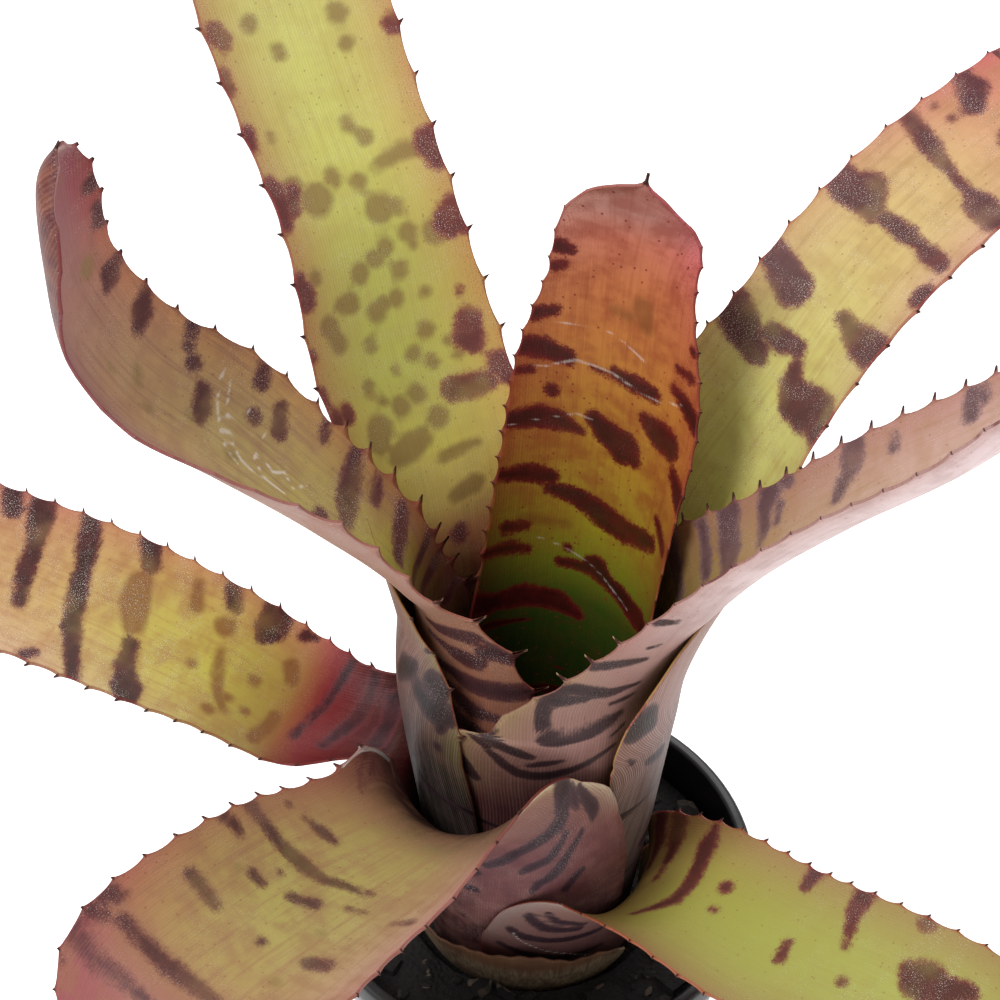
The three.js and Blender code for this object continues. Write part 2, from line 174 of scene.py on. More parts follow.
def rows_along(leaf, t_table, length_table):
    """Lengths of the rows in mm, and where each lies within its scallop (-1 on a plain row)."""
    begin, length = leaf["teeth_from"], length_table[-1]
    margins = [curled(leaf, t_table, np.full(len(t_table), u), 0)[0] for u in (-1.0, 1.0)]
    steps = sum(np.linalg.norm(np.diff(margin, axis=0), axis=1) for margin in margins) / 2
    run = np.concatenate([[0], np.cumsum(steps)])
    first = float(np.interp(begin, length_table, run))
    scallops = max(1, round((run[-1] - first) / leaf["tooth_pitch"]))
    pitch = (run[-1] - first) / scallops
    plain = np.linspace(0, begin, max(2, round(begin / plain_row)))[:-1]
    cells = [first + pitch * (k + f) for k in range(scallops) for f in scallop_rows]
    fractions = [f for k in range(scallops) for f in scallop_rows]
    lengths = np.concatenate([plain, np.interp(cells, run, length_table), [length]])
    return lengths, np.concatenate([np.full(len(plain), -1.0), fractions, [0.0]])


def margin_profile(fraction, height, rise):
    """How far the margin stands out, in mm, and how much of a thorn it is."""
    arc = np.abs(2 * fraction - 1) ** cusp_sharpness * rise - scallop_sink
    thorn = np.where(fraction == 0, 1.0, 0.0)
    out = np.where(fraction < 0, 0.0, arc + thorn * np.maximum(height - cusp_height, 0))
    return out, thorn


# %% [markdown]
# ## Marks on a leaf
# The bands aren't even stripes. Each one is a torn brush stroke across the leaf, and its place
# is what makes a leaf of this plant known from another. Each stroke is therefore written down
# as a few points: the length along the midrib, the place across from -1 to 1 and the
# half-thickness of the stroke. The distance to the nearest stroke is stored on the mesh,
# and the material later roughens it and cuts it off sharply.

# %% Distance to the nearest stroke
far_away = 30.0


def distance_to(strokes, lengths, across, width_at):
    """Signed distance in mm from each grid point to the strokes' edges, negative inside."""
    nearest = np.full(lengths.shape, far_away)
    here = np.stack([lengths, across * width_at(lengths)], -1)
    for stroke in strokes:
        spots = [(np.array([s, u * float(width_at(s))]), r) for s, u, r in stroke]
        if len(spots) == 1:
            spots = spots * 2
        for (a, ra), (b, rb) in zip(spots, spots[1:]):
            span = b - a
            h = np.clip((here - a) @ span / max(span @ span, 1e-9), 0, 1)
            gap = np.linalg.norm(here - (a + h[..., None] * span), axis=-1)
            nearest = np.minimum(nearest, gap - (ra + h * (rb - ra)))
    return nearest


# %% Colours are written as seen on the leaf, then made linear
def colour(red, green, blue):
    """A colour given as 0 to 255 becomes Blender's linear colour."""
    share = np.array([red, green, blue], float) / 255
    return np.where(share <= 0.04045, share / 12.92, ((share + 0.055) / 1.055) ** 2.4)


def tinted(stops, lengths, across, narrowness):
    """Blends the leaf's colours, with the painted shade that some leaves hold in their stops near
    the foot: each stop has a length, then the midrib's colour and the colours of the two margins,
    and a colour left out is the one before it. The greater the narrowness, the narrower the margins' strips."""
    at = [stop[0] for stop in stops]
    colours = np.array([[colour(*stop[min(k, len(stop) - 1)]) for k in (1, 2, 3)] for stop in stops])
    middle, left, right = (
        np.stack([np.interp(lengths, at, colours[:, k, c]) for c in range(3)], -1) for k in range(3)
    )
    edge = np.where(across[..., None] > 0, left, right)
    share = np.abs(across)[..., None] ** narrowness
    return middle * (1 - share) + edge * share


# %% Write values onto a mesh
def store(mesh, name, values):
    kind = "FLOAT" if values.ndim == 1 else {3: "FLOAT_VECTOR", 4: "FLOAT_COLOR"}[values.shape[1]]
    layer = mesh.attributes.new(name, kind, "POINT")
    slot = {"FLOAT": "value", "FLOAT_VECTOR": "vector", "FLOAT_COLOR": "color"}[kind]
    layer.data.foreach_set(slot, values.astype(np.float32).ravel())


def opaque(rgb):
    return np.concatenate([rgb, np.ones((len(rgb), 1))], -1)


# %% Turn a bmesh into an object, and turn points about the pot
def stand(name, sheet, smooth=True):
    """Makes an object of a finished bmesh and puts it in the scene."""
    mesh = bpy.data.meshes.new(name)
    sheet.to_mesh(mesh)
    sheet.free()
    mesh.polygons.foreach_set("use_smooth", np.full(len(mesh.polygons), smooth))
    piece = bpy.data.objects.new(name, mesh)
    bpy.context.collection.objects.link(piece)
    return piece


def turned(points, angle):
    """Points or directions, one to a row, turned about the pot's axis."""
    x, y, z = points.T
    cos_a, sin_a = math.cos(angle), math.sin(angle)
    return np.stack([x * cos_a - y * sin_a, x * sin_a + y * cos_a, z], -1)


# %% Make a leaf from a grid
# A sheath is thinner than its blade, so that the sheaths lie free of each other in the tank.
across_step = 1.25
most_counted_width = 64
end_without_thorns = 14
tall_thorn = 2.6
seen_fades_over = 5
awl_rows = 6
leaf_thickness = 1.0
sheath_share, blade_from, blade_grows_over = 0.66, 3.5, 2.5


def make_leaf(name, leaf, materials):
    rows, t_table, length_table = midrib(leaf)
    length = length_table[-1]
    lengths, fractions = rows_along(leaf, t_table, length_table)
    awl = leaf["awl"]
    awl_steps = np.linspace(0, 1, awl_rows + 1)[1:]
    lengths = np.concatenate([lengths, length + awl * awl_steps])
    fractions = np.concatenate([fractions, np.full(len(awl_steps), -1.0)])
    widest = rows[:, 3].max()
    columns = int(2 * round(min(widest, most_counted_width) / across_step))

    sheet = bmesh.new()
    bmesh.ops.create_grid(sheet, x_segments=len(lengths) - 1, y_segments=columns, size=1)
    piece = stand(name + "_live", sheet)
    mesh = piece.data
    flat = np.empty(len(mesh.vertices) * 3)
    mesh.vertices.foreach_get("co", flat)
    flat = flat.reshape(-1, 3)
    row = np.rint((flat[:, 0] + 1) / 2 * (len(lengths) - 1)).astype(int)
    across = np.rint(flat[:, 1] * columns / 2) / (columns / 2)

    # The margin's scallops and thorns, and the grid bent to the leaf
    s = lengths[row]
    fraction = fractions[row]
    on_margin = np.abs(across) > 0.999
    height = np.interp(s, *zip(*leaf["thorns"]))
    for side, begin, end, tall in leaf.get("long_thorns", []):
        height = np.where((across * side > 0.5) & (s > begin) & (s < end), tall, height)
    taper = np.clip((length - s) / end_without_thorns, 0, 1)
    out, thorn = margin_profile(fraction, height, np.interp(s, *zip(*leaf["scallops"])))
    beyond = np.where(on_margin, np.sign(across) * out * taper, 0)
    lean = np.where(on_margin, thorn * thorn_lean * height * taper, 0)
    t = np.interp(np.minimum(s, length), length_table, t_table)
    widened = np.interp(s, *zip(*leaf["widen_left"])) * np.maximum(across, 0)
    widened = widened + np.interp(s, *zip(*leaf["widen_right"])) * np.minimum(across, 0)
    point, normal, along, half_width = curled(leaf, t, across, beyond + widened)
    point = point + along * lean[:, None]

    # Past the leaf's end the rows shrink to its end spine
    past = np.clip((s - length) / awl, 0, 1)
    end_middle = curled(leaf, np.full(1, t_table[-1]), np.zeros(1), np.zeros(1))
    awl_width = (1 - past) ** 6 * (1 - leaf["end_spine"]) + leaf["end_spine"]
    tip = end_middle[0] + end_middle[2] * (past * awl)[:, None]
    point = np.where(past[:, None] > 0, tip + (point - end_middle[0]) * awl_width[:, None], point)

    turn = math.radians(leaf["azimuth"])
    spun = turned(point, turn) + (0, 0, soil_level)
    mesh.vertices.foreach_set("co", (spun * mm).ravel())

    def width_at(where):
        return np.interp(where, length_table, along_stations(rows, t_table)[0][:, 3])

    # What the skin reads from the mesh
    store(mesh, "along_across", np.stack([s, across * half_width, np.zeros(len(s))], -1))
    store(mesh, "dust", np.interp(s, *zip(*leaf["dust"])))
    store(mesh, "rim", np.where(on_margin, 0, (1 - np.abs(across)) * half_width))
    spike = thorn * taper * np.clip(height, 0, 1) * np.maximum(1, height / tall_thorn)
    store(mesh, "thorn", np.where(on_margin, spike, 0) + np.clip(past * 3 - 0.7, 0, 0.9))
    for face in ("upper", "under"):
        for kind in ("bands_", "spots_", "silver_"):
            strokes = leaf.get(kind + face, [])
            store(mesh, kind + face, distance_to(strokes, s, across, width_at))
        tint = tinted(leaf["tint_" + face], s, across, leaf["edge_" + face])
        store(mesh, "tint_" + face, opaque(tint))
        wild = np.ones(len(s))
        for s0, s1, u0, u1 in leaf.get("seen_" + face, []):
            inside = np.minimum.reduce([
                s - s0, s1 - s, (across - u0) * half_width, (u1 - across) * half_width])
            wild = np.minimum(wild, 1 - np.clip(inside / seen_fades_over, 0, 1))
        store(mesh, "wild_" + face, wild)

    middle = mesh.polygons[len(mesh.polygons) // 2]
    if np.dot(middle.normal, turned(normal, turn)[middle.vertices[0]]) < 0:
        mesh.flip_normals()
    for material in materials:
        mesh.materials.append(material)
    # The wall, thinner in the sheath
    body = piece.vertex_groups.new(name="body")
    sturdy = sheath_share + (1 - sheath_share) * np.clip((t - blade_from) / blade_grows_over, 0, 1)
    for index, share in enumerate(sturdy):
        body.add([index], float(share), "REPLACE")
    wall = piece.modifiers.new("leaf_thickness", "SOLIDIFY")
    wall.thickness = leaf_thickness * mm
    wall.offset = 0
    wall.vertex_group = "body"
    wall.thickness_vertex_group = 0
    wall.material_offset = 1
    wall.material_offset_rim = 0
    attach(piece, "root")
    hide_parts(name)
    print(name, "length", round(float(length)), "mm,", len(lengths), "rows,", columns, "strips")


# %% [markdown]
# ## Shader sums as plain expressions
# A leaf's finish is a long sum of small effects. Written as nodes it would fill pages, so a
# socket is wrapped in a small class, and adding or multiplying two of them makes the Math node.

# %% A socket that can be added and multiplied
class Wire:
    def __init__(self, finish, socket):
        self.finish = finish
        self.socket = socket

    def _sum(self, operation, *values):
        made = self.finish.node("ShaderNodeMath", {"operation": operation}, dict(enumerate(values)))
        return Wire(self.finish, made.outputs[0])

    def __add__(self, other):
        return self._sum("ADD", self, other)

    __radd__ = __add__

    def __sub__(self, other):
        return self._sum("SUBTRACT", self, other)

    def __rsub__(self, other):
        return self._sum("SUBTRACT", other, self)

    def __mul__(self, other):
        return self._sum("MULTIPLY", self, other)

    __rmul__ = __mul__

    def least(self, other):
        return self._sum("MINIMUM", self, other)

    def most(self, other):
        return self._sum("MAXIMUM", self, other)

    def wave(self):
        return self._sum("SINE", self)

    def power(self, other):
        return self._sum("POWER", self, other)

    def soft_step(self, start, stop, low=0.0, high=1.0):
        """low up to start, high from stop on, and a smooth change between."""
        made = self.finish.node(
            "ShaderNodeMapRange", {"interpolation_type": "SMOOTHSTEP"},
            {"Value": self, "From Min": start, "From Max": stop, "To Min": low, "To Max": high})
        return Wire(self.finish, made.outputs[0])


class Finish:
    """One node material. node() makes any node, and the rest are short names for common ones."""

    def __init__(self, name):
        self.material = bpy.data.materials.new(name)
        self.material.use_nodes = True
        self.tree = self.material.node_tree
        self.tree.nodes.clear()
        self.output = self.tree.nodes.new("ShaderNodeOutputMaterial")

    def node(self, kind, settings=None, inputs=None):
        made = self.tree.nodes.new(kind)
        for key, value in (settings or {}).items():
            setattr(made, key, value)
        for key, value in (inputs or {}).items():
            if isinstance(value, Wire):
                self.tree.links.new(value.socket, made.inputs[key])
            else:
                made.inputs[key].default_value = value
        return made

    def stored(self, name, out="Fac"):
        return Wire(self, self.node("ShaderNodeAttribute", {"attribute_name": name}).outputs[out])

    def place(self):
        return Wire(self, self.node("ShaderNodeTexCoord").outputs["Object"])

    def stretched(self, vector, x, y, z=1.0):
        made = self.node("ShaderNodeVectorMath", {"operation": "MULTIPLY"}, {0: vector, 1: (x, y, z)})
        return Wire(self, made.outputs[0])

    def noise(self, vector, scale, detail=2.0, roughness=0.5, distortion=0.0):
        made = self.node("ShaderNodeTexNoise", {}, {
            "Vector": vector, "Scale": scale, "Detail": detail, "Roughness": roughness,
            "Distortion": distortion})
        return Wire(self, made.outputs["Fac"])

    def cells(self, vector, scale, out="Distance"):
        made = self.node("ShaderNodeTexVoronoi", {}, {"Vector": vector, "Scale": scale})
        return Wire(self, made.outputs[out])

    def part(self, vector, axis):
        return Wire(self, self.node("ShaderNodeSeparateXYZ", {}, {0: vector}).outputs[axis])

    def mix(self, share, first, second):
        ends = [end if isinstance(end, Wire) else tuple(end) + (1,) for end in (first, second)]
        made = self.node("ShaderNodeMix", {"data_type": "RGBA"}, {0: share, 6: ends[0], 7: ends[1]})
        return Wire(self, made.outputs[2])

    def bump(self, height, distance, strength=1.0):
        made = self.node("ShaderNodeBump", {}, {
            "Strength": strength, "Distance": distance, "Height": height})
        return Wire(self, made.outputs[0])

    def finish_with(self, **sockets):
        names = {key.replace("_", " "): value for key, value in sockets.items()}
        shader = self.node("ShaderNodeBsdfPrincipled", {}, names)
        self.tree.links.new(shader.outputs[0], self.output.inputs["Surface"])
        return self.material


# %% [markdown]
# ## The leaf's skin
# The skin is tough and satiny. On it lie, from below upwards: the ground colour, the dark bands,
# small dots, fine veins that run the leaf's length, and a pale scurf that rubs off in flecks.
# The margin has a thin dark red line, and each thorn is nearly black. All of it follows the
# leaf, so the patterns read the stored lengths in millimetres instead of the object's axes.

# %% The material of a leaf's face
freckle_red = colour(118, 36, 30)
scurf_white = colour(234, 228, 220)
thorn_brown = colour(62, 28, 22)
thorn_straw = colour(196, 160, 120)
vein_turn = 6.3  # radians to a millimetre, so about one vein to a millimetre


def leaf_skin(name, face, leaf):
    skin = Finish(name)
    flat = skin.stored("along_across", "Vector")
    across = skin.part(flat, "Y")
    rim = skin.stored("rim")
    torn = skin.noise(skin.stretched(flat, 0.16, 0.10), 1.0, 3, 0.6)
    ragged = skin.noise(skin.stretched(flat, 0.9, 0.6), 1.0, 2, 0.6)
    grain = skin.noise(skin.stretched(flat, 2.6, 2.0), 1.0, 2, 0.6)
    zebra = skin.noise(skin.stretched(flat, 0.085, 0.014), 1.0, 2, 0.5, 0.4)
    hidden_bands = (zebra - 0.4) * 70 + (1 - skin.stored("wild_" + face)) * 60
    frayed = ((torn - 0.5) * 4 + (ragged - 0.5) * 2.6 + (grain - 0.5) * 3.2) * leaf["frayed_" + face]
    reach = skin.stored("bands_" + face).least(hidden_bands) + frayed
    worn = skin.noise(skin.stretched(flat, 0.05, 0.05), 1.0, 2)
    worn = worn.soft_step(0.3, 0.55, leaf["band_low_" + face], 1.0)
    band = reach.soft_step(leaf["band_edge_" + face], -leaf["band_edge_" + face]) * worn
    spot = (skin.stored("spots_" + face) + (torn - 0.5) * 4 + (grain - 0.5) * 1.6).soft_step(1.5, -1.8)

    mottle = skin.noise(skin.stretched(flat, 0.07, 0.07), 1.0, 3, 0.6)
    streak = skin.noise(skin.stretched(flat, 0.025, 0.42), 1.0, 3, 0.6)
    base = colour(*leaf["mottle_" + face])
    dust = skin.stored("dust")
    weathered = dust * 0.95 + 0.05
    stain = (mottle * 0.6 + torn * 0.4).soft_step(0.42, 0.62) * leaf["mottle_depth"] * weathered
    ground = skin.mix(stain, skin.stored("tint_" + face, "Color"), base)
    ground = skin.mix(streak.soft_step(0.45, 0.72) * leaf["streaks_" + face] * weathered, ground, base)
    ground = skin.mix(spot * leaf["spot_depth"], ground, colour(*leaf["spot_colour"]))
    freckle = grain.soft_step(0.56, 0.7) * rim.soft_step(13, 1) * leaf["freckles"]
    dot = skin.cells(skin.stretched(flat, 0.3, 0.3), 1.0).soft_step(0.15, 0.07) * leaf["dots"]
    ground = skin.mix(freckle.most(dot), ground, freckle_red)
    ink_light = colour(*leaf["band_light_" + face])
    ink_dark = colour(*leaf["band_dark_" + face])
    core = reach.soft_step(0.2, -2.6) * mottle.soft_step(0.75, 0.4, 0.55, 1.0)
    ink = skin.mix(core, ink_light, ink_dark)
    skin_colour = skin.mix(band * leaf["band_depth_" + face], ground, ink)

    vein = (across * vein_turn + (torn - 0.5) * 2).wave() * 0.5 + 0.5
    vein_share = vein * streak.soft_step(0.3, 0.7, 0.4, 1.0) * (1 - band * 0.85) * leaf["veins_" + face]
    skin_colour = skin.mix(vein_share, skin_colour, colour(*leaf["vein_colour_" + face]))
    flecks = skin.noise(skin.stretched(flat, 3.0, 2.2), 1.0, 2, 0.7)
    patch = skin.noise(skin.stretched(flat, 0.11, 0.06), 1.0, 2)
    scurf = flecks.soft_step(0.58, 0.68) * patch.soft_step(0.42, 0.64, 0.05, 1.0)
    scurf = scurf * (0.45 + band * 0.3) * dust * leaf["scurf_" + face]
    fibre = skin.noise(skin.stretched(flat, 0.25, 2.6), 1.0, 2, 0.6)
    line = (skin.stored("silver_" + face) + (fibre - 0.5) * 1.1).soft_step(0.4, -0.3)
    scurf = scurf.most(line * leaf["chalk"])
    skin_colour = skin.mix(scurf, skin_colour, scurf_white)

    margin_line = rim.soft_step(0.8, 0.2) * leaf["rim_line_" + face]
    skin_colour = skin.mix(margin_line, skin_colour, colour(*leaf["margin_colour"]))
    thorn = skin.stored("thorn")
    skin_colour = skin.mix(thorn.soft_step(0.15, 0.55), skin_colour, thorn_brown)
    skin_colour = skin.mix(thorn.soft_step(1.1, 1.6), skin_colour, thorn_straw)

    relief = vein * 0.12 + streak * 0.8 + torn * 0.9 + ragged * 0.35 - scurf * 0.4
    return skin.finish_with(
        Base_Color=skin_colour,
        Roughness=0.42 + scurf * 0.3 + ragged * 0.16,
        Normal=skin.bump(relief, 0.35 * mm, 0.6),
        Specular_IOR_Level=0.2,
    )


# %% [markdown]
# ## The eight leaves
# Each leaf has its own shape and its own marks. Leaf by leaf, the values below give the way it
# points, its midrib, and then its colours and strokes.
# Sheath stations hold a height, a half-wrap and a skew. Pairs such as thorns, scallops, dust and
# widen_left hold a length and the value there. Inside the seen boxes only the written strokes
# count, and elsewhere the skin adds bands of its own.

# %% What all leaves have unless they say otherwise
common_look = {
    "scallops": ((0, 1.2), (400, 1.0)), "dust": ((0, 0.1), (95, 0.15), (125, 0.5), (150, 1)),
    "widen_left": ((0, 0), (1, 0)), "widen_right": ((0, 0), (1, 0)), "edge_upper": 2.2, "edge_under": 9,
    "spot_depth": 0.6, "spot_colour": (128, 108, 62), "dots": 0.35, "margin_colour": (120, 44, 40),
    "streaks_upper": 0.3, "streaks_under": 0.3, "freckles": 0.4,
    "mottle_upper": (150, 112, 66), "mottle_under": (140, 98, 92),
    "band_light_upper": (112, 48, 46), "band_dark_upper": (56, 18, 26),
    "band_light_under": (66, 46, 50), "band_dark_under": (26, 16, 22),
    "band_low_upper": 0.75, "band_low_under": 1.0, "band_edge_upper": 1.2, "band_edge_under": 0.6,
    "frayed_upper": 1.0, "frayed_under": 0.35, "mottle_depth": 0.3, "end_spine": 0.07,
    "rim_line_upper": 0.55, "rim_line_under": 0.15, "chalk": 0.5,
    "band_depth_upper": 0.96, "band_depth_under": 0.96,
    "veins_upper": 0.05, "vein_colour_upper": (120, 90, 50),
    "veins_under": 0.3, "vein_colour_under": (214, 198, 190),
    "scurf_upper": 0.8, "scurf_under": 0.5,
    "tint_under": [
        (0, (120, 80, 72), (150, 140, 90)),
        (100, (160, 116, 102), (170, 165, 110)),
        (160, (190, 152, 138), (188, 168, 130)),
        (400, (196, 170, 130), (196, 165, 125)),
    ],
}

# %% The innermost leaf: orange above, olive below, with broad maroon bands
leaf_centre = {
    "azimuth": 71, "shell": 0, "teeth_from": 130, "tooth_pitch": 9, "awl": 6, "slot": "leaf_orange",
    "thorns": ((0, 1.5), (230, 1.4), (250, 0.8)),
    "sheath": [[sheath_foot, 114, 0], [34, 100, -7], [79, 81, -10]],
    "blade": [
        [40, 121, -1, 42, 70, -2, -12], [49, 160, -2, 38, 58, -1, -10], [58, 194, -4, 34, 41, 0, -4],
        [67, 221, -6, 26, 32, 0, 0], [71, 240, -7, 22, 24, -1, 0], [72, 251, -8, 14, 21, -2, 0],
        [72, 257, -9, 4, 18, -2, 0],
    ],
    # The near-black green up to about 134 mm is painted shade deep in the tank, laid over the leaf's greener
    # base.
    "tint_upper": [
        (0, (20, 28, 12)),
        (98, (30, 50, 10), (20, 28, 10), (26, 30, 10)),
        (120, (48, 70, 14), (36, 40, 14), (44, 42, 14)),
        (134, (104, 110, 24), (76, 62, 20), (92, 68, 22)),
        (150, (140, 128, 30), (118, 84, 28), (130, 86, 32)),
        (175, (160, 122, 38), (146, 84, 38), (156, 88, 38)),
        (198, (172, 118, 44), (152, 84, 42), (160, 86, 44)),
        (218, (178, 112, 52), (168, 98, 56), (164, 88, 54)),
        (238, (182, 108, 64), (184, 116, 80), (178, 94, 72)),
        (252, (184, 108, 84), (190, 126, 108), (198, 102, 104)),
        (262, (168, 120, 110), (196, 142, 128), (196, 110, 116)),
    ],
    "dots": 0.95, "scurf_upper": 0.12, "band_dark_upper": (50, 4, 10), "band_light_upper": (98, 18, 20),
    "spot_colour": (112, 66, 26),
    "seen_upper": [(112, 300, -2, 2)],
    "bands_upper": [
        [(247, 0.92, 3), (246, 0.75, 2.2)], [(240, 0.93, 2.4), (241, 0.8, 1.8)],
        [(222, 0.95, 3), (224, 0.74, 2.2)], [(211, 0.97, 3.5), (211, 0.75, 4), (209, 0.5, 3)],
        [(207, 0.25, 1.2), (206, 0.1, 1)], [(203, 0.95, 2), (203.5, 0.82, 1.5)], [(197, 0.6, 2.6)],
        [(186, 0.98, 3.5), (187.5, 0.7, 4.5), (187, 0.5, 4), (184, 0.3, 2)],
        [(190, 0.2, 3), (186, 0.05, 5), (183, -0.12, 6.5), (180, -0.25, 3)],
        [(196, -0.3, 2.5), (193, -0.5, 5.5), (192, -0.65, 5), (192, -0.72, 2)],
        [(207, 0.02, 2.5), (205.5, -0.2, 3.3), (205, -0.4, 3)],
        [(210, -0.65, 2.2), (206, -0.85, 3.3), (203, -0.98, 3)],
        [(217, -0.7, 1.4), (216, -0.9, 2)], [(224, -0.96, 2)],
        [(167, 0.97, 2.5), (167, 0.75, 3.4), (166, 0.5, 3.2)],
        [(162, 0.5, 2.5), (160, 0.25, 4), (156, 0, 5), (154, -0.2, 5), (155, -0.4, 4), (157, -0.6, 3)],
        [(184, -0.75, 2.6), (181, -0.9, 4), (178, -1, 3)], [(166, -0.62, 2), (160, -0.85, 2.5)],
        [(147, 0.82, 3), (147, 0.65, 2)], [(138, 0.97, 2.5), (139, 0.75, 3), (138, 0.6, 2)],
        [(140, 0.27, 2)], [(134, 0.32, 1.8), (134, 0.12, 2.5), (136, 0, 5), (132, -0.12, 4),
                           (130, -0.3, 4), (128, -0.5, 5)],
        [(117, 0.8, 4), (119, 0.55, 5), (118, 0.3, 4.5), (114, 0.1, 3)],
        [(119, 0.98, 5), (117, 0.85, 5)], [(128, -0.6, 5), (124, -0.85, 6)],
    ],
    "spots_upper": [
        [(231, -0.25, 3.5), (226, -0.3, 3)], [(228, 0.1, 1.6), (227, -0.1, 1.6)],
        [(150, 0.7, 2), (149, 0.3, 2)],
    ],
    "silver_upper": [
        [(204, 0.97, 0.3), (205, 0.7, 0.3), (208.5, 0.42, 0.4), (208, 0.25, 0.3), (207, 0.05, 0.3),
         (204, -0.2, 0.4), (203.5, -0.45, 0.3), (206, -0.75, 0.4)],
        [(184, 0.98, 0.2), (187, 0.6, 0.2), (190, 0.35, 0.3), (189, 0.2, 0.2)],
        [(219, 0.85, 0.3), (220.5, 0.5, 0.3), (221, 0.2, 0.3), (219, 0, 0.2), (214, -0.3, 0.3)],
        [(143, 0.55, 0.2), (140, 0.3, 0.2), (136, 0.05, 0.2), (130, -0.2, 0.3), (127, -0.38, 0.2)],
    ],
    "mottle_upper": (128, 46, 28), "mottle_depth": 0.55, "end_spine": 0.03, "chalk": 0.3,
    "dust": ((0, 0), (135, 0.15), (165, 1)),
    "freckles": 1.0,
    "scallops": ((0, 1.2), (140, 1.8), (200, 1.2), (260, 0.8)),
    "band_low_upper": 0.95, "band_edge_upper": 0.8,
    "widen_left": ((0, 0), (238, 0), (252, 2), (262, 5), (268, 5), (271, 4)),
    "widen_right": ((0, 0), (244, 0), (250, 1), (256, 3), (263, 6), (268, 6.5), (271, 5)),
}

